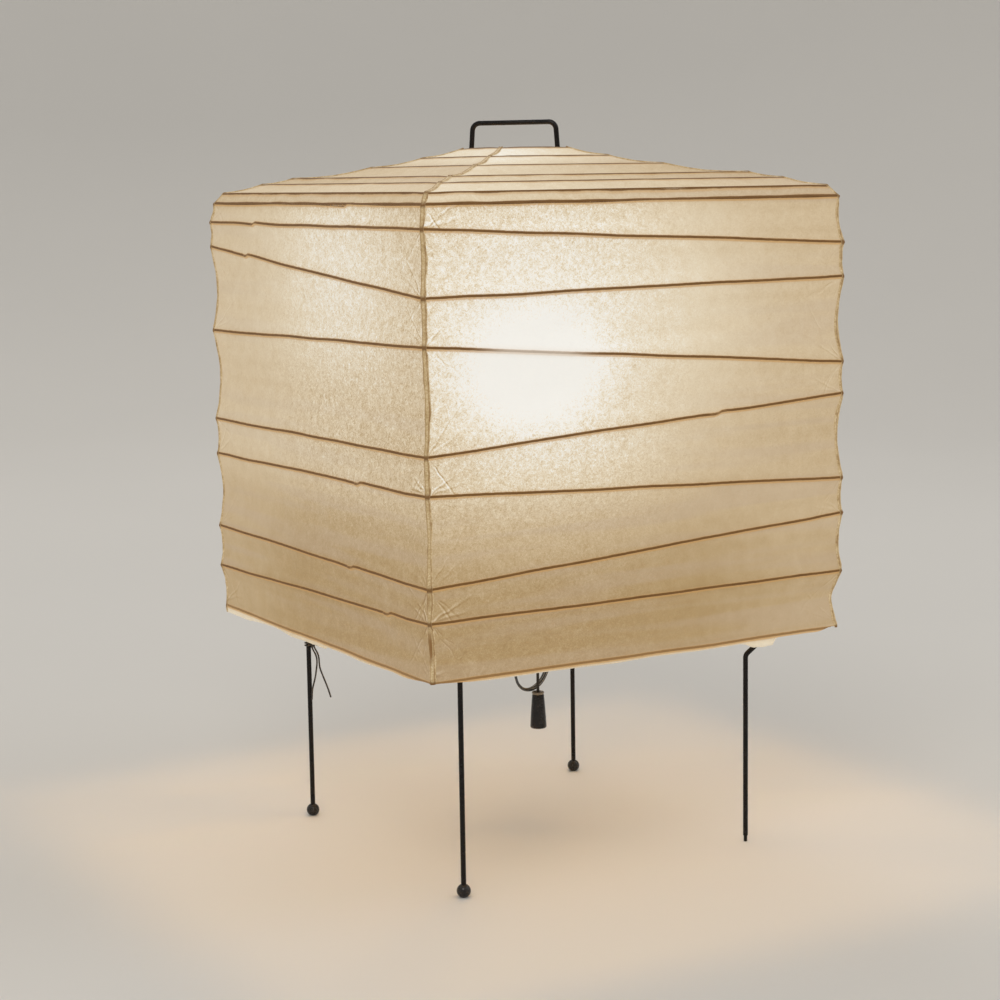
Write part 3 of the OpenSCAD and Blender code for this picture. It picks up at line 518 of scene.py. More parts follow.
# Two shades of each plastic and each metal, and its roughness
PLASTICS = {
    "sleeve_rubber": ((0.012, 0.011, 0.011), (0.03, 0.027, 0.025), 0.5),
    "gland_plastic": ((0.014, 0.013, 0.013), (0.035, 0.031, 0.028), 0.38),
    "bead_plastic": ((0.02, 0.018, 0.017), (0.05, 0.045, 0.04), 0.4),
    "collar_plastic": ((0.02, 0.018, 0.017), (0.05, 0.045, 0.04), 0.35),
    "foot_ball": ((0.010, 0.0095, 0.009), (0.026, 0.023, 0.021), 0.16),
    "holder_bakelite": ((0.016, 0.012, 0.010), (0.045, 0.032, 0.025), 0.26),
    "switch_bakelite": ((0.014, 0.011, 0.010), (0.038, 0.029, 0.024), 0.3)}
METALS = {
    "contact_brass_worn": ((0.45, 0.27, 0.09), (0.78, 0.56, 0.25), 0.28),
    "zinc_plate": ((0.42, 0.41, 0.39), (0.66, 0.65, 0.62), 0.34),
    "cap_aluminium_worn": ((0.50, 0.49, 0.47), (0.80, 0.79, 0.77), 0.3),
    "bell_brass": ((0.035, 0.026, 0.018), (0.17, 0.115, 0.06), 0.36),
    "lever_brass": ((0.42, 0.26, 0.09), (0.74, 0.54, 0.25), 0.32),
    "spring_steel": ((0.38, 0.37, 0.36), (0.62, 0.61, 0.60), 0.3)}


def moulded(name, grain=0.8, relief=0.05):
    """Moulded plastic: a cloudy mix of two shades, a fine grain, scuffs that take the shine off."""
    f = Finish(name)
    low, high, rough = PLASTICS[name]
    cloud, fine, scuff = f.noise(11, 3, 0.6), f.noise(grain), f.noise(3.2, 5, 0.72, 0.8)
    colour = f.ramp(cloud, (0.3, low), (0.7, high))
    return f.done(
        fine + scuff * 0.4, relief, 0.6,
        Base_Color=f.blend(f.step(scuff, 0.58, 0.72) * 0.25, colour, (0.30, 0.27, 0.24)),
        Roughness=f.step(scuff, 0.4, 0.72, rough, rough + 0.3), Specular_IOR_Level=0.35)


def metal(name):
    """Bare metal with fine turning lines, tarnish in patches and a duller film where it was handled."""
    f = Finish(name)
    low, high, rough = METALS[name]
    lines, patch = f.noise(0.35, 3, 0.6, drawn=(0.15, 0.15, 1.0)), f.noise(5, 4, 0.65, 0.4)
    return f.done(
        lines, 0.03, 0.7, Base_Color=f.blend(lines * 0.25, f.ramp(patch, (0.3, low), (0.72, high)), low),
        Roughness=f.step(patch, 0.3, 0.75, rough + 0.22, rough), Metallic=1.0)


def ceramic(name):
    """Glazed steatite: off-white, faintly speckled, with a soft shine and darker firing marks."""
    f = Finish(name)
    cloud = f.noise(7, 3, 0.6)
    colour = f.ramp(cloud, (0.3, (0.72, 0.69, 0.62)), (0.7, (0.83, 0.81, 0.76)))
    return f.done(
        cloud, 0.1, 0.4,
        Base_Color=f.blend(f.step(f.cells(0.9), 0.0, 0.16, 0.35, 0.0), colour, (0.35, 0.28, 0.2)),
        Roughness=f.step(cloud, 0.3, 0.7, 0.2, 0.42))


def opal_glass(name):
    """A lit opal globe: bright in its middle, warmer towards the neck, with a thin film of dust."""
    f = Finish(name)
    dust = f.noise(2.2, 4, 0.7)
    colour = f.blend(f.step(f.height(), 0.175, 0.235), (1.0, 0.62, 0.28), (1.0, 0.86, 0.62))
    colour = f.blend(f.step(dust, 0.5, 0.8) * 0.25, colour, (0.86, 0.66, 0.42))
    return f.done(
        dust, 0.03, 0.4, Base_Color=colour, Emission_Color=colour, Roughness=f.step(dust, 0.4, 0.8, 0.14, 0.4),
        Emission_Strength=2.4, Specular_IOR_Level=0.5)


def lead_skin(name):
    """Glossy black flex: two cores under one skin, with painted highlights along their ridges, paler in the
    groove.
    """
    f = Finish(name)
    dusty = f.noise(4, 4, 0.7)
    colour = f.ramp(dusty, (0.3, (0.010, 0.0095, 0.010)), (0.7, (0.024, 0.021, 0.020)))
    # Paler in the groove between the two cores
    colour = f.blend(f.mark("groove") * 0.35, colour, (0.07, 0.06, 0.05))
    # Painted highlights along both cores' ridges, broken by noise
    ridge_highlight = f.mark("ridge") * f.step(f.noise(9, 3, 0.6), 0.38, 0.58, 0.35, 0.95)
    return f.done(
        f.noise(1.1, 3, 0.6), 0.05, 0.5, Base_Color=f.blend(ridge_highlight, colour, (0.50, 0.47, 0.43)),
        Roughness=f.step(dusty, 0.4, 0.8, 0.08, 0.25), Coat_Weight=1.0, Coat_Roughness=0.05,
        Specular_IOR_Level=0.8)


def string_skin(name, dark, light, twist):
    """Twisted thread: two slanting plies from the distance along and the turn around, painted shade in the
    grooves between them and painted highlight on their crowns, with stray fluff.
    """
    f = Finish(name)
    phase = f.mark("along") * (2 * math.pi / twist) + f.mark("around") * 2.0
    ply, fluff = abs(f.math("SINE", phase)), f.noise(0.35, 3, 0.7)
    # Painted shade in the grooves between the plies, painted highlight on their crowns
    colour = f.blend(f.step(ply, 0.1, 0.9), dark, light)
    return f.done(
        ply + fluff * 0.3, 0.16, 0.9, Base_Color=f.blend(fluff * 0.3, colour, tuple(2.4 * c for c in light)),
        Roughness=0.75, Sheen_Weight=0.4, Sheen_Roughness=0.4)


def knob_skin(name, ring_low, ring_high):
    """Polished black knob with a paler ring round its neck, between two heights in metres, and fine
    scratches."""
    f = Finish(name)
    height = f.height()
    ring = f.step(height, ring_low, ring_low + 0.0004) * f.step(height, ring_high, ring_high + 0.0003, 1.0, 0.0)
    scratch, cloud = f.noise(0.5, 3, 0.7, drawn=(0.2, 0.2, 1)), f.noise(6, 3, 0.6)
    colour = f.ramp(cloud, (0.3, (0.010, 0.009, 0.009)), (0.7, (0.024, 0.021, 0.020)))
    colour = f.blend(f.step(scratch, 0.62, 0.75) * 0.3, colour, (0.12, 0.10, 0.09))
    return f.done(
        scratch, 0.03, 0.5, Base_Color=f.blend(ring * 0.75, colour, (0.34, 0.29, 0.23)),
        Roughness=f.step(cloud, 0.3, 0.7, 0.16, 0.34), Coat_Weight=0.12, Coat_Roughness=0.1,
        Specular_IOR_Level=0.3)


def studio_floor(name, tint):
    """Matt pale floor with a hardly visible unevenness."""
    f = Finish(name)
    cloud = f.noise(420, 3, 0.5)
    return f.done(
        Base_Color=f.ramp(cloud, (0.3, tuple(0.985 * c for c in tint)), (0.7, tint)),
        Roughness=f.step(cloud, 0.3, 0.7, 0.68, 0.78), Specular_IOR_Level=0.25)


# Paper and seams

def side_rows():
    """Rows of a side panel from the lip up, crowded beside the hoops: band, share up it, share of lip."""
    shares = np.array([
        0, 0.012, 0.03, 0.055, 0.1, 0.18, 0.3, 0.41, 0.5, 0.59, 0.7, 0.82, 0.9, 0.945, 0.97, 0.988])
    lip = np.array([1, 0.8, 0.6, 0.4, 0.2])
    band = np.concatenate([0 * lip, np.repeat(np.arange(BANDS), len(shares)), [BANDS - 1]]).astype(int)
    share = np.concatenate([0 * lip, np.tile(shares, BANDS), [1]])
    hang = np.concatenate([lip, np.zeros(len(shares) * BANDS + 1)])
    return band[:, None], share[:, None], hang[:, None]


def roof_rows():
    """Rows of a roof panel from the eave to the opening: band, share across it."""
    shares = np.array([0, 0.04, 0.09, 0.16, 0.3, 0.5, 0.7, 0.84, 0.91, 0.96])
    band = np.append(np.repeat(np.arange(ROOF_BANDS), len(shares)), ROOF_BANDS - 1)
    return band[:, None], np.append(np.tile(shares, ROOF_BANDS), 1.0)[:, None]


def columns(count):
    """Shares along a side, crowded towards both ends."""
    t = np.linspace(0, 1, count)
    return (0.45 * t + 0.55 * (0.5 - 0.5 * np.cos(np.pi * t)))[None, :]


def from_ends(s):
    """Distance of each point of a row from the row's nearer end."""
    return np.minimum(s - s[:, :1], s[:, -1:] - s)


def laid_out(k, depth, along, z):
    """Points on side k: depth out from the middle, along the side from its middle, at height z."""
    a, b = CORNERS[k], CORNERS[(k + 1) % 4]
    out, way = (a + b) / 2, (b - a) / 2
    return np.stack([out[0] * depth + way[0] * along, out[1] * depth + way[1] * along, z + 0 * depth], -1)


def lip_length(k, s):
    """Length of the paper's lip along side k: uneven and longer off the corners, with a torn flap and a small
    step on the front, and a loose corner between the left side and the back."""
    length = LIP * (1 + 0.10 * waver(61 + k, s, 110)) + 0.05 * waver(71 + k, s, 16)
    length = length + 1.9 * ease(118 - np.abs(s), 3, np.where((k == FRONT) & (s > 0), 13, 34))
    if k == FRONT:
        length = length + 3.0 * ease(s, 57, 68) * ease(s, 79.5, 77) * (1 + 0.08 * np.sin(s * 0.9))
        length = length - 0.8 * ease(s, 79, 81)
    if k == BACK:
        length = length + 3.9 * ease(s, 108, 118)
    if k == LEFT:
        length = length + 1.3 * ease(s, 8, 4) * ease(s, -60, -30) + 3.9 * ease(s, -62, -118)
    return length


# Light on each side. The bulb's broad patch: its middle along the side and up, its half sizes, and the light
# that it adds; then the same of smaller patches. The glare's share of the full hot patch, and how much of the
# fibres it hides. The right and the back, which aren't seen in the photograph, share one setting
BROAD_PATCH = {FRONT: (-60, 275, 95, 82, 0.44), LEFT: (32, 300, 72, 56, 0.27), None: (0, 265, 88, 76, 0.34)}
SMALL_PATCHES = {
    FRONT: ((-50, 214, 60, 20, 0.10), (35, 290, 35, 45, 0.05)), LEFT: ((0, 214, 200, 26, 0.045),), None: ()}
GLARE = {FRONT: (1.0, 1.0), LEFT: (0.0, 0.0), None: (0.32, 0.6)}
HOT_Z, HOT_WIDE, HOT_HIGH = 259, 31, 22.5


def side_glow(k, s, z, hot):
    """Light through side k: dim at the bottom, even above, with a broad and a hot patch where the bulb
    shines through; and how much its fibres show there."""
    side = k if k in BROAD_PATCH else None
    glow = 0.255 + 0.185 * ease(z, 140, 215) + 0.06 * ease(z, 215, 270) - 0.13 * ease(z, 330, 345)
    where = 0.8 * ease(np.abs(s), 110, 20)
    if side == FRONT:
        glow = glow + 0.10 * ease(s, 20, 100) * ease(z, 205, 172)
        where = ease(s, 45, -45)
    if side == LEFT:
        glow = glow + 0.10 * ease(z, 180, 200) - 0.03 * ease(z, 215, 240) - 0.11 * ease(z, 328, 345)
        glow = glow + 0.10 * ease(-s, 0, 100) * ease(z, 200, 165)
        where = ease(s, -75, 35)
    for x, level, wide, high, more in SMALL_PATCHES[side]:
        glow = glow + more * bell(s - x, wide) * bell(z - level, high)
    x, level, wide, high, more = BROAD_PATCH[side]
    high = np.where(z < level, high, high * 1.08)
    glow = glow + more * bell(s - x, wide) * bell(np.abs(z - level), high, 2.5)
    core = np.exp(-(((s - x + 2) / HOT_WIDE) ** 2 + ((z - HOT_Z) / HOT_HIGH) ** 2) ** 1.1)
    glare, hidden = GLARE[side]
    fleck = mix(0.2, 1.0, where) * mix(0.35, 1.0, ease(z, 165, 225)) * (1 - hidden * ease(core, 0.5, 1.0))
    return glow + hot * core * glare, fleck


def tucked(points):
    """Draws the front right corner in between the two lowest hoops: both walls step back by 1.6 times an
    ease towards the corner and a bell over the height."""
    x, y, z = points[..., 0], points[..., 1], points[..., 2]
    pull = 1.6 * ease(x, 72, 119) * ease(-y, 72, 119) * bell(z - 132, 8.5)
    return points + np.stack([-pull, pull, 0 * pull], -1)


def creases(k, s, below, above, band):
    """Sum of thin valleys that start where a hoop meets a corner and run off at a slant, dying out."""
    rng = np.random.default_rng(300 + k)
    total = 0
    for off in (s - s[:, :1], s[:, -1:] - s):
        for rise in (below, below, above, above):
            slope = np.tan(np.radians(rng.uniform(20, 64, BANDS)))[band]
            reach, size = rng.uniform(8, 24, BANDS)[band], rng.uniform(0.08, 0.4, BANDS)[band]
            gap = (rise - off * slope) / np.sqrt(1 + slope ** 2)
            total = total - size * bell(gap, 1.0) * np.exp(-off / reach) * ease(off, 0, 2)
    return total


def both(outer, inner):
    """A mark's values on the outer face of a sheet and on its inner one."""
    return np.stack([outer, inner + 0 * outer])


def paper_sheet(name, node, outer, inner, marks, edge, finish):
    """The closed sheet of two faces that stands for a node of paper.
    Its marks go on over one edge, the row next to the eave, so that the hoop's line isn't broken there."""
    for mark in ("rib", "off", "tone", "glow"):
        marks[mark][1, edge] = marks[mark][0, edge]
    piece = make_piece(name, np.stack([outer, inner]), skin_faces(*outer.shape[:2]), finish,
                       stands_for=(node,), marks=marks)


def side_sheet(k, finish, hot):
    """Side panel k. Its depth is the hoops' half width mixed up a band, less a sag of 0.05 of the band's
    height times the sine of the share; over it come a ridge on each hoop, creases and a slow ripple."""
    a, b = k, (k + 1) % 4
    u = columns(150)
    band, share, hang = side_rows()
    row = band[:, 0]
    lipped = hang > 0
    half = mix(RIB_HALF[band], RIB_HALF[band + 1], share)
    rise_a, rise_b = RISES[band, a], RISES[band, b]
    high = mix(rise_a, rise_b, u)
    arch = PAPER_SAG * np.sin(np.pi * share)
    s = mix(MARGIN - (half - arch * rise_a), half - arch * rise_b - MARGIN, u)
    ends = ease(from_ends(s), 0, 22)

    # Each hoop's line strays a little, and steps where the hoop's two ends are bound beside each other
    walk = np.stack([waver(17 * n + k, s[0], 160, 0.30) for n in range(BANDS + 1)])
    bound = [(n, mix(s[0].min(), s[0].max(), at)) for n, (side, at) in enumerate(SPLICES) if side == k]
    for n, where in bound:
        walk[n] += 0.75 * (2 * ease(s[0], where - 2.5, where + 2.5) - 1) * np.exp(-np.abs(s[0] - where) / 11)
    lip = lip_length(k, s)
    z = mix(RIB_Z[band, a] + rise_a * share, RIB_Z[band, b] + rise_b * share, u)
    z = z + ends * mix(walk[row], walk[row + 1], share) - hang * lip
    z[-1] -= MARGIN

    # Heights over and under the hoops; the bottom hoop's line lies lower on the paper than the hoop
    below, above = np.where(lipped, hang * lip, share * high), (1 - share) * high
    near = np.minimum(below, above)
    signed = np.where(below <= above, np.where(lipped, -below, below), -above)
    foot = (band == 0) & (signed > -above + 0.01)
    signed = signed + LINE_DROP * foot
    by_line = np.where(foot, np.abs(signed), near)

    free = np.sin(np.pi * share) * ends
    relief = 0.46 * bell(by_line, 0.95) * ends
    relief = relief + free * (ripple(40 + k, s, z, 14, 60, 0.42) + ripple(50 + k, s, z, 4, 12, 0.10))
    relief = relief + creases(k, s, below, above, band) * ~lipped
    relief = relief + hang * (0.35 * waver(81 + k, s, 70) + 0.06 * waver(91 + k, s, 13) - 0.2)
    glow, fleck = side_glow(k, s, z, hot)
    glow = glow + 0.14 * hang + 0.28 * ease(-signed, 0.2, 1.2) * lipped
    tone = np.where(foot, 0.68, 1.0) + 0 * s
    for n, where in bound:
        level = np.where(band == n, below, np.where(band == n - 1, -above, FAR))
        window = ease(np.abs(s - where), 5.6, 4.2)
        relief = relief + 0.5 * window * bell(level, 1.5)
        tone = tone - 0.3 * window * (np.abs(level) < 6) * (0.55 + 0.45 * np.cos((s - where) * 1.15))
        glow = glow + 0.07 * ease(np.abs(s - where + 2), 7, 4) * bell(level + 2.1, 1.2)
    depth = half - arch * high + np.maximum(relief, -0.1 - 3 * ease(near, 1.5, 5))
    outer, inner = (tucked(laid_out(k, depth - under, s, z)) for under in (0, PAPER_T))

    # The painted highlight and shade of the folds by the corners: one tilt and one strength for each band at
    # each end of the side
    rng = np.random.default_rng(900 + k)
    first_half = np.arange(s.shape[1])[None, :] < s.shape[1] / 2
    tilt = [rng.uniform(0.45, 1.5, BANDS)[band] for _ in (a, b)]
    crease = [rng.uniform(0.0, 1.0, BANDS)[band] ** 1.5 * most + least
              for least, most in ((0.2, 0.9) if c == FRONT_LEFT else (0.0, 0.42) for c in (a, b))]
    marks = {
        "glow": both(glow, 0.62), "fleck": both(fleck, 0.5), "rib": both(np.clip(signed, -6, 6), 6),
        "off": both(np.minimum(by_line, 12), 12), "tone": both(tone, 0),
        "up": both(np.where(lipped, FAR, below), FAR), "down": both(above, FAR),
        "out": np.stack([np.where(first_half, s - s[:, :1], s[:, -1:] - s)] * 2),
        "tilt": np.stack([np.where(first_half, *tilt)] * 2), "crease": both(np.where(first_half, *crease), 0)}
    paper_sheet(f"washi_{SIDES[k]}", f"paper_{SIDES[k]}", outer, inner, marks, -1, finish)


def roof_levels(c, band, share):
    """Half width and height of the roof over corner c at a share across a band."""
    half, level = mix(EAVE_HALF, RIM_HALF, ROOF_RUN), mix(EAVE_Z[c], RIM_Z, ROOF_LIFT)
    dip = PAPER_SAG * (half[band] - half[band + 1]) * np.sin(np.pi * share)
    return mix(half[band], half[band + 1], share), mix(level[band], level[band + 1], share) - dip


def roof_steps(eave):
    """Width up the slope of each band of the roof over an eave at the given height."""
    return np.hypot(np.diff(mix(EAVE_HALF, RIM_HALF, ROOF_RUN)), np.diff(mix(eave, RIM_Z, ROOF_LIFT)))


# Light on each roof panel: at the eave, more towards the bulb's side, and more in the bands that lie flatter
ROOF_LIGHT = {FRONT: (0.51, 0.14), LEFT: (0.44, 0.10), None: (0.51, 0.10)}
ROOF_BAND_LIGHT = np.array([0.05, 0.10, 0, 0.04, 0, 0])


def roof_glow(k, s, half, band):
    """Light through roof panel k: more towards the opening, and on the two slopes seen in the photograph
    more towards the corner between them."""
    share = s / half
    toward = {FRONT: -share, LEFT: 0.5 + 0.5 * share - 0.6 * ease(share, 0.3, 1.0)}.get(k, 0.3)
    base, more = ROOF_LIGHT[k if k in ROOF_LIGHT else None]
    return base + 0.28 * ease(half, 64, 26) + ROOF_BAND_LIGHT[band] + more * (toward + 0 * s)


def roof_sheet(k, finish):
    """Roof panel k: a hipped slope in steps, its half width and height mixed between the roof's hoops with
    a dip of 0.05 of the band's run times the sine of the share, and a ridge over each hoop."""
    u = columns(120)
    band, share = roof_rows()
    row = band[:, 0]
    half, low_z = roof_levels(k, band, share)
    _, high_z = roof_levels((k + 1) % 4, band, share)
    s = mix(MARGIN - half, half - MARGIN, u)
    half = half + 0 * s
    ends = ease(from_ends(s), 0, 12)
    step = roof_steps(EAVE_Z.mean())[band] + 0 * u
    below, above = share * step, (1 - share) * step
    near = np.minimum(below, above)
    signed = np.where(below <= above, below, -above)
    walk = np.stack([waver(517 * n + k, s[0], 130, 0.35) for n in range(ROOF_BANDS + 1)])
    shift = ends * mix(walk[row], walk[row + 1], share) * (band > 0)
    relief = 0.34 * bell(near, 0.9) * ends + np.sin(np.pi * share) * ends * (
        ripple(540 + k, s, half, 12, 50, 0.40) + ripple(550 + k, s, half, 4, 11, 0.10))
    z = mix(low_z, high_z, u) + relief * ease(share + band, 0.0, 0.3)
    outer = laid_out(k, half - shift, s, z)
    glow = roof_glow(k, s, half, band)
    marks = {
        "glow": both(glow, 0.62), "fleck": both(0 * glow + 0.30, 0.5), "rib": both(np.clip(signed, -6, 6), 6),
        "off": both(np.minimum(near, 12), 12), "tone": both(0 * glow + 1.0, 0)}
    paper_sheet(f"washi_roof_{SIDES[k]}", f"roof_{SIDES[k]}", outer, outer - [0, 0, PAPER_T], marks, 0, finish)


def seam_strip(c, finish):
    """The strip over corner c and up its hip: each row folds over the corner, its wings waver in width and
    are pinched at each hoop; where the pasted wings part, a brown lens opens."""
    across = np.array([-1, -0.8, -0.6, -0.4, -0.2, -0.07, 0, 0.07, 0.2, 0.4, 0.6, 0.8, 1])[None, :]
    band, share, hang = side_rows()
    rise = RISES[band, c]
    half = mix(RIB_HALF[band], RIB_HALF[band + 1], share) - PAPER_SAG * rise * np.sin(np.pi * share)
    drop = LIP + (3.4 if c == BACK_LEFT else 0.0)
    z = RIB_Z[band, c] + rise * share - hang * drop
    below = np.where(hang > 0, -hang * drop, share * rise) + LINE_DROP * (band == 0)
    near = np.minimum(np.abs(below), (1 - share) * rise)
    top_band, top_share = roof_rows()
    top_half, top_z = roof_levels(c, top_band, top_share)
    top_near = roof_steps(EAVE_Z[c])[top_band] * np.minimum(top_share, 1 - top_share)
    half, z, near = (np.vstack(pair) for pair in ((half, top_half), (z, top_z), (near, top_near)))
    roof = np.arange(len(z))[:, None] >= len(band)
    run = path_reach(np.hstack([half, half, z]))[:, None]
    wide = 1.9 * (1 + 0.22 * waver(700 + c, run, 46) + 0.10 * waver(710 + c, run, 9))
    wide = wide * (1 - 0.26 * bell(near, 1.6)) * np.where(roof, 0.92, 1.0)
    lens = 0 * z
    if c == FRONT_LEFT:
        lens = bell(z - 134, 7.5, 4) + 0.5 * bell(z - 156, 4.0)
        wide = wide * (1 + 0.45 * lens)
    lean = 0.22 * waver(720 + c, run, 40)
    puff = 0.16 * waver(730 + c, run, 12) * (1 - across ** 2) + 0.22 * bell(np.abs(across) - 0.72, 0.16)
    sunk = 0.3 * bell(across, 0.12)

    def face(lift):
        """One face of the strip, lifted off the paper: outwards on the walls, upwards on the roof."""
        out = half + np.where(roof, 0, lift) - sunk
        x = out - wide * (1 + lean) * np.clip(across, 0, 1)
        y = out - wide * (1 - lean) * np.clip(-across, 0, 1)
        return tucked(np.stack([CORNERS[c, 0] * x, CORNERS[c, 1] * y, z + np.where(roof, lift, 0) + 0 * x], -1))

    flat = across + 0 * z
    marks = {"across": np.stack([flat, flat]), "lens": both(lens * ease(np.abs(flat + 0.15), 0.62, 0.3), 0),
             "cross": both(bell(near, 1.2, 4) * np.where(roof, 0.7, 0.96) + 0 * flat, 0)}
    facing_out(make_piece(
        f"corner_strip_{CORNER_NAMES[c]}", np.stack([face(0.42 + puff), face(0.15 + 0 * puff)]),
        skin_faces(*flat.shape), finish, stands_for=(f"seam_{CORNER_NAMES[c]}",), marks=marks))


# Hard parts and cords; points nearer than the weld, in metres, are one

WELD = 0.000002


def dressed(node, finish, angle=32, bevel=0.0):
    """A copy of a CAD node with its doubles merged, shaded smooth but for edges sharper than the angle."""
    source = frame["nodes"][node]
    work = bmesh.new()
    work.from_mesh(source.data)
    bmesh.ops.remove_doubles(work, verts=work.verts, dist=WELD)
    bmesh.ops.dissolve_degenerate(work, edges=work.edges, dist=WELD)
    sharp = math.radians(angle)
    for edge in work.edges:
        edge.smooth = len(edge.link_faces) == 2 and edge.calc_face_angle(0.0) < sharp
    for face in work.faces:
        face.smooth = True
    mesh = bpy.data.meshes.new(f"{node}_finished")
    work.to_mesh(mesh)
    work.free()
    piece = placed(f"{node}_finished", mesh, finish, source["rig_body"], (node,))
    if bevel:
        soften = piece.modifiers.new("soft edges", "BEVEL")
        soften.width, soften.segments, soften.limit_method, soften.angle_limit = bevel * MM, 2, "ANGLE", sharp
    return piece


def turned_piece(name, profile, at, foot, sides, finish, body="lamp", stands_for=()):
    """A profile of radius and height over foot, turned about the vertical axis through at."""
    points, faces = turned(np.array(profile) + [0, foot], at, sides)
    return facing_out(make_piece(name, points, faces, finish, body, stands_for))


def thread(name, path, radius, finish, seed, first=(1, 0, 0), body="lamp", stands_for=(), swell=0.12):
    """A tube round a path whose thickness wavers, marked with the distance along it and the turn round it."""
    turn = np.arange(14) * 2 * np.pi / 14
    section = np.stack([np.cos(turn), np.sin(turn)], -1) * radius
    along = path_reach(path)
    points, faces, rows, cols = swept(path, section, first, 1 + swell * waver(seed, along, 7, 0.5))
    far = np.concatenate([np.full(4, along[0]), along, np.full(4, along[-1])])
    marks = {
        "along": np.append(np.repeat(far, cols), along[[0, -1]]),
        "around": np.append(np.tile(np.sin(turn), rows), [0, 0])}
    return facing_out(make_piece(name, points, faces, finish, body, stands_for, marks))


def twin_lead(name, path, finish, first):
    """The flat flex: at turn p its radius is c |cos p| + sqrt(r^2 - c^2 sin^2 p), the outline of two cores;
    it turns over by a quarter as it leaves the bottom of its droop."""
    turn = np.arange(36) * 2 * np.pi / 36
    core, off = 0.74, 0.66
    radius = off * np.abs(np.cos(turn)) + np.sqrt(core ** 2 - (off * np.sin(turn)) ** 2)
    section = np.stack([radius * np.cos(turn), radius * np.sin(turn)], -1)
    points, faces, rows, cols = swept(path, section, first, twist=np.pi / 2 * ease(path_reach(path), 17, 30))
    marks = {
        # groove: the waist between the cores; ridge: where the painted highlights lie along them
        "groove": np.append(np.tile(ease(np.abs(np.sin(turn)), 0.9, 1.0), rows), [0, 0]),
        "ridge": np.append(np.tile(ease(np.abs(np.abs(np.cos(turn)) - 0.62), 0.20, 0.05), rows), [0, 0])}
    return facing_out(make_piece(
        name, points, faces, finish, stands_for=("lead_loop",), marks=marks))


# Routes and outlines: the lead's and the string's points, the latter from the back left leg, and the profiles
# of the turned pieces as radius and height; the string's rounds, their radius, the top one's height, the pitch
WRAPS, WRAP_RADIUS, WRAP_TOP, WRAP_PITCH = 3, 1.85, 99, 1.35
LEAD_ROUTE = (
    (1.5, 9.5, 90), (1.5, 9.5, 85.5), (1.8, 9.3, 81), (3, 8.7, 77), (5.4, 7.6, 74.4),
    (8.4, 6.2, 74), (11.5, 4.7, 75.6), (14, 3, 78.8), (15.8, 1.8, 83), (17.2, 1.2, 87.6),
    (18.4, 1.3, 92), (19.2, 2.8, 97), (19.5, 5.2, 101.5), (19.2, 8.2, 105.5), (18.6, 11.5, 109),
    (18.4, 14.8, 112), (19.2, 18, 114.3), (21, 21, 115.6), (23.6, 23.6, 115.8))
TAIL_ROUTES = {
    "a": ((0.7, -2.4, 96), (1.2, -3.2, 93.5), (2.2, -3.8, 91.2), (2.8, -4.1, 88.5), (2.8, -4.1, 85.5),
          (2.4, -4, 82.5), (2, -3.8, 79.5), (1.4, -3.5, 76.5), (0.7, -3.1, 73.5), (0.2, -2.8, 70.5),
          (0, -2.6, 66)),
    "b": ((1.9, -2.2, 96), (2.4, -3.2, 94), (3.4, -4, 91.6), (4, -4.3, 88.8), (4.1, -4.4, 86),
          (4.4, -4.6, 83.2), (5.2, -5, 80.4), (6.1, -5.5, 77.6), (7, -6, 74.8), (7.9, -6.6, 71.8),
          (8.6, -7.1, 69), (9.1, -7.4, 67))}
LOOP_ROUTE = (
    (1.4, -2.0, 97.6), (2.9, -3.0, 98.6), (5.0, -4.2, 99.2), (6.7, -5.0, 98.2), (7.0, -5.2, 96.6),
    (5.6, -4.5, 95.6), (3.8, -3.5, 95.9), (2.4, -2.7, 96.6), (1.5, -2.3, 97.0))
KNOT_ROUTE = (
    (0.6, -2.0, 98.2), (1.8, -2.7, 97.7), (2.3, -3.0, 96.6), (1.5, -2.9, 95.8), (0.7, -2.5, 96.3),
    (1.0, -2.3, 97.3), (1.9, -2.5, 97.2))
SLEEVE = (
    (0, 85.2), (1.5, 85.2), (1.75, 85.7), (2.0, 86.1), (1.85, 86.4), (2.0, 87.2), (2.25, 87.6), (2.1, 87.9),
    (2.3, 88.6), (2.95, 89.3), (2.9, 90.05), (0, 90.05))
KNOB = (
    (0, 19.5), (1.05, 19.5), (1.2, 19.85), (1.5, 20), (2.5, 20), (3.0, 19.9), (3.26, 19.6), (3.3, 19.2),
    (3.22, 18.9), (3.0, 18.7), (3.0, 18.45), (3.2, 18.1), (3.55, 14.2), (3.98, 8), (4.36, 1.6), (4.4, 0.85),
    (4.25, 0.4), (3.9, 0.12), (3.3, 0), (0, 0))
BEAD = ((0, -2.0), (1.0, -1.75), (1.7, -1.05), (2.0, 0), (1.7, 1.05), (1.0, 1.75), (0, 2.0))
COLLAR = ((0, 0), (1.9, 0), (2.15, 0.1), (2.2, 0.3), (2.2, 0.7), (2.15, 0.9), (1.9, 1), (0, 1))


# Sizes and colours that a user would change

def number_prop(name, description, default, **more):
    return bpy.props.FloatProperty(name=name, description=description, default=default, **{"min": 0, **more})


def angle_prop(name, description, degrees):
    return bpy.props.FloatProperty(
        name=name, description=description, default=math.radians(degrees), subtype="ANGLE")


def colour_prop(name, description, default):
    return bpy.props.FloatVectorProperty(
        name=name, description=description, default=default, subtype="COLOR", size=3, min=0, max=1)


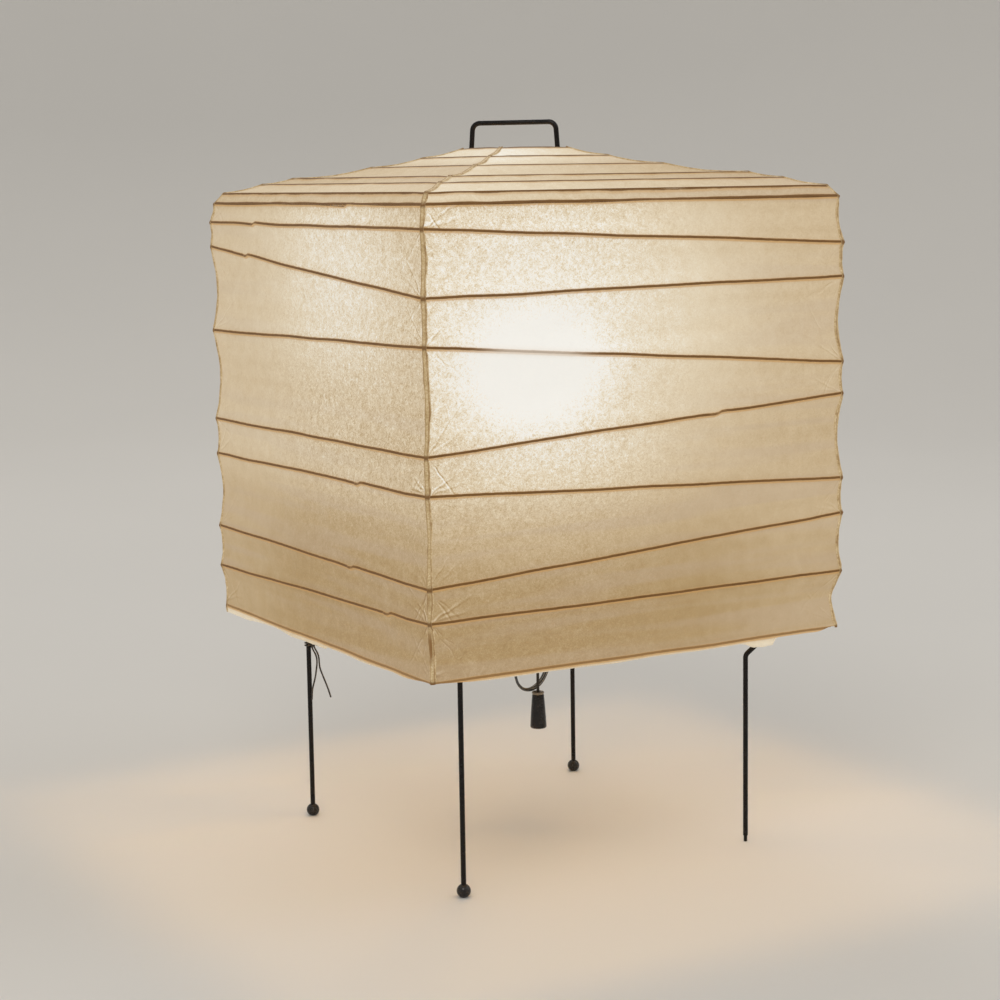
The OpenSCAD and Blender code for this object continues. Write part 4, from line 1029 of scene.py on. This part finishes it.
class LanternPaper(bpy.types.PropertyGroup):
    """Paper, its light and the look of the hoops through it."""
    light: number_prop("Light through", "Strength of the light that comes through the paper", 0.64, max=3)
    hot: number_prop("Bulb patch", "How far the patch before the bulb burns out", 0.75, max=3)
    body: number_prop("Paper body", "Share of the room's light that the paper throws back", 0.40, max=1)
    # The hoop's line and its honey edge are a painted shade of the hoop in the bulb's light, partly the
    # bamboo's own brown
    honey: colour_prop("Hoop's edge", "Colour of the paper beside a hoop", (0.60, 0.34, 0.115))
    rib: colour_prop("Hoop's line", "Colour of a hoop seen through the paper", (0.125, 0.056, 0.014))
    rib_light: colour_prop("Hoop's light fibres", "Lighter streaks in that line", (0.27, 0.135, 0.040))


class LanternHardware(bpy.types.PropertyGroup):
    """Wire, cords and string."""
    dust: number_prop("Wear", "How much dust and rubbing the black wire shows", 0.12, subtype="FACTOR", max=1)
    # The thread's dark and light are painted shade between its plies and painted highlight on them
    thread_dark: colour_prop("Thread", "Dark side of the black thread's plies", (0.006, 0.0055, 0.006))
    thread_light: colour_prop("Thread's ply", "Light side of the black thread's plies", (0.040, 0.034, 0.030))


class LanternStudio(bpy.types.PropertyGroup):
    """Camera, floor and lights."""
    eye: bpy.props.FloatVectorProperty(
        name="Camera's place", description="Where the camera stands", subtype="TRANSLATION", unit="LENGTH",
        default=(-0.5971, -1.0077, 0.3472), size=3)
    turn: angle_prop("Turn", "Turn of the view from straight back to the right", 30.15)
    dip: angle_prop("Dip", "How far the camera looks down", 8.18)
    roll: angle_prop("Roll", "Turn of the camera about its own axis", -0.88)
    lens: number_prop("Lens", "Focal length on a sensor 36 mm wide", 80.61, min=10)
    floor: colour_prop("Floor", "Colour of the floor", (0.72, 0.70, 0.665))
    sky: number_prop("Room light", "Strength of the even light all round", 0.58, max=3)
    key: number_prop("Key light", "Power of the large soft light", 15.0, unit="POWER")
    bulb: number_prop("Bulb light", "Power of the bulb's warm light", 1.15, unit="POWER")


def paper_look(context):
    """The paper's settings by name, the colours as plain tuples."""
    held = context.scene.lantern_paper
    values = {name: getattr(held, name) for name in LanternPaper.__annotations__}
    return {name: value if isinstance(value, float) else tuple(value) for name, value in values.items()}


# The studio, in metres: the floor's flat radius, the radius that it sweeps up with and its thickness; the
# height of its rim; the height that the lights aim at, and their places, sizes, shares of the power and colours
FLOOR_FLAT, FLOOR_SWEEP, FLOOR_THICK, FLOOR_RIM = 1.9, 1.7, 0.02, 1.75
AIM = 0.15
LIGHTS = {
    "key_light": ((-1.3, -1.5, 1.9), 1.4, 1.0, (1.0, 0.96, 0.90)),
    "fill_light": ((1.7, -0.9, 1.5), 1.6, 0.45, (0.93, 0.96, 1.0)),
    "back_light": ((0.5, 1.8, 1.8), 1.4, 0.5, (1.0, 0.97, 0.93))}
BULB_DROP = 0.030


def linked(name, data, matrix=Matrix.Identity(4)):
    """An object for camera, lamp or mesh data, in the scene."""
    thing = bpy.data.objects.new(name, data)
    thing.matrix_world = matrix
    bpy.context.scene.collection.objects.link(thing)
    return thing


def studio_camera(p):
    """The camera, its axes from its turn, dip and roll."""
    ahead = np.array([math.sin(p.turn) * math.cos(p.dip), math.cos(p.turn) * math.cos(p.dip), -math.sin(p.dip)])
    right = np.array([math.cos(p.turn), -math.sin(p.turn), 0])
    up = np.cross(right, ahead)
    c, s = math.cos(p.roll), math.sin(p.roll)
    axes = np.stack([c * right + s * up, -s * right + c * up, -ahead], 1)
    lens = bpy.data.cameras.new("camera")
    lens.sensor_fit, lens.sensor_width, lens.lens = "HORIZONTAL", 36.0, p.lens
    lens.clip_start, lens.clip_end = 0.01, 50
    return linked("camera", lens, Matrix.Translation(Vector(p.eye)) @ Matrix(axes.tolist()).to_4x4())


def studio_ground(tint):
    """A floor that sweeps up all round: past the flat its radius grows by the sweep's times the sine of a
    turn and its height by the sweep's times one less the cosine; closed at the rim and from below."""
    flat, turn = np.linspace(0, FLOOR_FLAT, 20)[1:], np.radians(np.linspace(4, 74, 22))
    radius = np.concatenate([[0], flat, FLOOR_FLAT + FLOOR_SWEEP * np.sin(turn)])
    level = np.concatenate([[0], 0 * flat, FLOOR_SWEEP - FLOOR_SWEEP * np.cos(turn)])
    last, edge = radius[-1], radius[-1] + FLOOR_THICK
    rim = [[last, FLOOR_RIM], [edge, FLOOR_RIM], [edge, -FLOOR_THICK], [0, -FLOOR_THICK]]
    profile = np.vstack([np.stack([radius, level], -1), rim]) / MM
    mesh = make_mesh("studio_floor", *turned(profile[::-1], sides=96))
    mesh.materials.append(studio_floor("pale_floor", tint))
    linked("studio_floor", mesh)


def studio_lights(scene, p):
    """Even light all round, three large soft lights and the bulb's warm one."""
    scene.world = bpy.data.worlds.new("room_light")
    scene.world.use_nodes = True
    sky = scene.world.node_tree.nodes["Background"].inputs
    sky["Color"].default_value = (1.0, 0.985, 0.96, 1)
    sky["Strength"].default_value = p.sky
    for name, (place, size, share, tone) in LIGHTS.items():
        lamp = bpy.data.lights.new(name, "AREA")
        lamp.shape, lamp.size, lamp.energy, lamp.color = "DISK", size, p.key * share, tone
        back = Vector(place) - Vector((0, 0, AIM))
        linked(name, lamp, Matrix.Translation(place) @ back.to_track_quat("Z", "Y").to_matrix().to_4x4())
    warm = bpy.data.lights.new("bulb_light", "POINT")
    warm.energy, warm.color, warm.shadow_soft_size = p.bulb, (1.0, 0.60, 0.22), 0.026
    linked("bulb_light", warm, Matrix.Translation((0, 0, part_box("bulb_glass")[1].z - BULB_DROP)))


class LANTERN_OT_studio(bpy.types.Operator):
    """Camera at the photograph's angle, a pale floor that sweeps up all round, and soft lights"""
    bl_idname, bl_label = "lantern.studio", "Studio"

    def execute(self, context):
        p, scene = context.scene.lantern_studio, context.scene
        scene.camera = studio_camera(p)
        studio_ground(tuple(p.floor))
        studio_lights(scene, p)
        scene.view_settings.view_transform = "Standard"
        return {"FINISHED"}


class LANTERN_OT_lead(bpy.types.Operator):
    """Twin lead that droops under the switch and goes back up into its gland"""
    bl_idname, bl_label = "lantern.lead", "Lead and gland"

    def execute(self, context):
        path = smooth_path(LEAD_ROUTE, 8)
        lead = twin_lead("twin_lead", path, lead_skin("glossy_flex"), (0.47, 0.88, 0))
        turned_piece("lead_sleeve", SLEEVE, LEAD_ROUTE[0][:2], 0, 40, moulded("sleeve_rubber"))
        dressed("lead_gland", moulded("gland_plastic"), bevel=0.3)
        return {"FINISHED"}


class LANTERN_OT_string(bpy.types.Operator):
    """Black string wound round the back left leg, its knot and loop, and its two tails"""
    bl_idname, bl_label = "lantern.string", "String on the leg"

    def execute(self, context):
        p = context.scene.lantern_hardware
        twine = string_skin("black_twine", tuple(p.thread_dark), tuple(p.thread_light), 1.3)
        base = np.array([-LEG_AT, LEG_AT, 0])
        rounds = np.linspace(0, WRAPS, 110)
        turn = np.radians(-60 - 360 * rounds)
        coil = np.stack([
            WRAP_RADIUS * np.cos(turn), WRAP_RADIUS * np.sin(turn), WRAP_TOP - WRAP_PITCH * rounds], -1)
        thread("string_wraps", base + coil, 0.45, twine, 2, stands_for=("tie_wraps",))
        for name, route, steps, radius, seed in (
                ("string_loop", LOOP_ROUTE, 6, 0.42, 3), ("string_knot", KNOT_ROUTE, 7, 0.5, 4)):
            thread(name, smooth_path(base + np.array(route), steps), radius, twine, seed,
                   first=(0.5, 0.8, 0.1))
        for tail, route in TAIL_ROUTES.items():
            path = smooth_path(base + np.array(route), 6)
            piece = thread(f"string_tail_{tail}", path, 0.45, twine, 8,
                           stands_for=(f"tie_tail_{tail}",))
        return {"FINISHED"}


class LANTERN_OT_pull(bpy.types.Operator):
    """Pull cord with its bead and its tapered knob"""
    bl_idname, bl_label = "lantern.pull", "Pull cord and knob"

    def execute(self, context):
        p = context.scene.lantern_hardware
        low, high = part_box("pull_knob")
        at = ((low.x + high.x) / 2 / MM, (low.y + high.y) / 2 / MM)
        foot, top = low.z / MM, high.z / MM
        bead_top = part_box("pull_cord")[1].z / MM
        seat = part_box("return_spring")[1].z / MM + COLLAR_LIFT
        # The cord runs from inside the bead to inside the knob
        down = np.linspace(bead_top - 1.2, foot + 10.5, 40)
        path = np.stack([at[0] + 0 * down, at[1] + 0 * down, down], -1)
        skin = string_skin("black_cord", tuple(p.thread_dark), tuple(p.thread_light), 2.2)
        cord = thread("pull_cord_thread", path, 0.8, skin, 5, body="pull",
                      stands_for=("pull_cord",), swell=0.04)
        bakelite = knob_skin("knob_bakelite", (top - 1.6) * MM, (top - 0.3) * MM)
        knob = turned_piece(
            "pull_knob_turned", KNOB, at, foot, 64, bakelite, "pull", ("pull_knob",))
        stop = turned_piece(
            "pull_cord_bead", BEAD, at, bead_top - 2.0, 32, moulded("bead_plastic"), "pull")
        collar = turned_piece(
            "pull_cord_collar", COLLAR, at, seat, 40, moulded("collar_plastic"), "pull")
        return {"FINISHED"}


class LANTERN_OT_paper(bpy.types.Operator):
    """Four side panels of washi"""
    bl_idname, bl_label = "lantern.paper", "Side panels"

    def execute(self, context):
        look = paper_look(context)
        finish = washi("lit_washi", look)
        for k in range(4):
            side_sheet(k, finish, look["hot"])
        return {"FINISHED"}


class LANTERN_OT_roof(bpy.types.Operator):
    """Four roof panels of washi"""
    bl_idname, bl_label = "lantern.roof", "Roof panels"

    def execute(self, context):
        finish = washi("lit_roof_washi", paper_look(context), creased=False)
        for k in range(4):
            roof_sheet(k, finish)
        return {"FINISHED"}


class LANTERN_OT_seams(bpy.types.Operator):
    """Four pasted strips over the corners and hips"""
    bl_idname, bl_label = "lantern.seams", "Corner strips"

    def execute(self, context):
        finish = seam_paper("pasted_strip", paper_look(context))
        for c in range(4):
            seam_strip(c, finish)
        return {"FINISHED"}


class LANTERN_OT_bamboo(bpy.types.Operator):
    """Bamboo hoops inside the paper, which keep their own meshes"""
    bl_idname, bl_label = "lantern.bamboo", "Bamboo hoops"

    def execute(self, context):
        finish = bamboo("split_bamboo")
        for node in SIDE_RIBS + ROOF_RIBS:
            materials = frame["nodes"][node].data.materials
            materials.clear()
            materials.append(finish)
        return {"FINISHED"}


class LANTERN_OT_wire(bpy.types.Operator):
    """Legs, feet, arms, hub, stretcher and its fittings"""
    bl_idname, bl_label = "lantern.wire", "Black wire and feet"

    def execute(self, context):
        enamel = black_enamel("black_enamel", context.scene.lantern_hardware.dust)
        for node in [f"leg_{c}" for c in CORNER_NAMES] + ["stretcher", "frame_arms", "rim_hooks"]:
            dressed(node, enamel, 40)
        for node in ("frame_hub", "upright_sockets"):
            dressed(node, enamel, bevel=0.25)
        ball = moulded("foot_ball", 1.4, 0.03)
        for node in ("foot_front_left", "foot_back_right", "foot_back_left"):
            dressed(node, ball, 30)
        return {"FINISHED"}


class LANTERN_OT_lampholder(bpy.types.Operator):
    """Lampholder with its core and contacts, and the nipple and nuts that hold it"""
    bl_idname, bl_label = "lantern.lampholder", "Lampholder"

    def execute(self, context):
        dressed("holder_shell", moulded("holder_bakelite"), bevel=0.5)
        dressed("holder_core", ceramic("steatite"), bevel=0.3)
        brass, zinc = metal("contact_brass_worn"), metal("zinc_plate")
        dressed("screw_shell", brass)
        dressed("centre_contact", brass)
        dressed("nipple", zinc)
        dressed("nipple_nuts", zinc, bevel=0.25)
        return {"FINISHED"}


class LANTERN_OT_bulb(bpy.types.Operator):
    """Opal bulb, which lets its own light out, and its screw cap"""
    bl_idname, bl_label = "lantern.bulb", "Bulb"

    def execute(self, context):
        dressed("bulb_glass", opal_glass("lit_opal"), 50).visible_shadow = False
        dressed("bulb_cap", metal("cap_aluminium_worn"))
        return {"FINISHED"}


class LANTERN_OT_switch(bpy.types.Operator):
    """Pull switch: case, lid, bell mouth, lever, pin and return spring"""
    bl_idname, bl_label = "lantern.switch", "Pull switch"

    def execute(self, context):
        case, steel = moulded("switch_bakelite"), metal("spring_steel")
        dressed("switch_case", case, bevel=0.35)
        dressed("switch_lid", case, bevel=0.35)
        dressed("bell_mouth", metal("bell_brass"))
        dressed("pull_lever", metal("lever_brass"))
        dressed("lever_pin", steel)
        spring = dressed("return_spring", steel, 50)
        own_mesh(spring)
        return {"FINISHED"}


STEPS = (
    "studio", "lead", "string", "pull", "paper", "roof", "seams", "bamboo", "wire", "lampholder", "bulb",
    "switch")
GROUPS = {
    "Paper": ("lantern_paper", LanternPaper), "Wire and string": ("lantern_hardware", LanternHardware),
    "Studio": ("lantern_studio", LanternStudio)}


class LANTERN_PT_tools(bpy.types.Panel):
    """Lists the settings and the pieces of the lamp"""
    bl_label, bl_idname = "Paper lantern lamp", "LANTERN_PT_tools"
    bl_space_type, bl_region_type, bl_category = "VIEW_3D", "UI", "Lantern"

    def draw(self, context):
        for title, (name, group) in GROUPS.items():
            box = self.layout.box()
            box.label(text=title)
            for setting in group.__annotations__:
                box.prop(getattr(context.scene, name), setting)
        for step in STEPS:
            self.layout.operator(f"lantern.{step}")


CLASSES = (
    LanternPaper, LanternHardware, LanternStudio, LANTERN_OT_studio, LANTERN_OT_lead, LANTERN_OT_string,
    LANTERN_OT_pull, LANTERN_OT_paper, LANTERN_OT_roof, LANTERN_OT_seams, LANTERN_OT_bamboo, LANTERN_OT_wire,
    LANTERN_OT_lampholder, LANTERN_OT_bulb, LANTERN_OT_switch, LANTERN_PT_tools)


def register():
    for item in CLASSES:
        bpy.utils.register_class(item)
    for name, group in GROUPS.values():
        setattr(bpy.types.Scene, name, bpy.props.PointerProperty(type=group))


def unregister():
    for name, _ in GROUPS.values():
        delattr(bpy.types.Scene, name)
    for item in reversed(CLASSES):
        bpy.utils.unregister_class(item)


def main():
    """Makes every piece in order."""
    register()
    for step in STEPS:
        getattr(bpy.ops.lantern, step)()


if __name__ == "__main__":
    main()
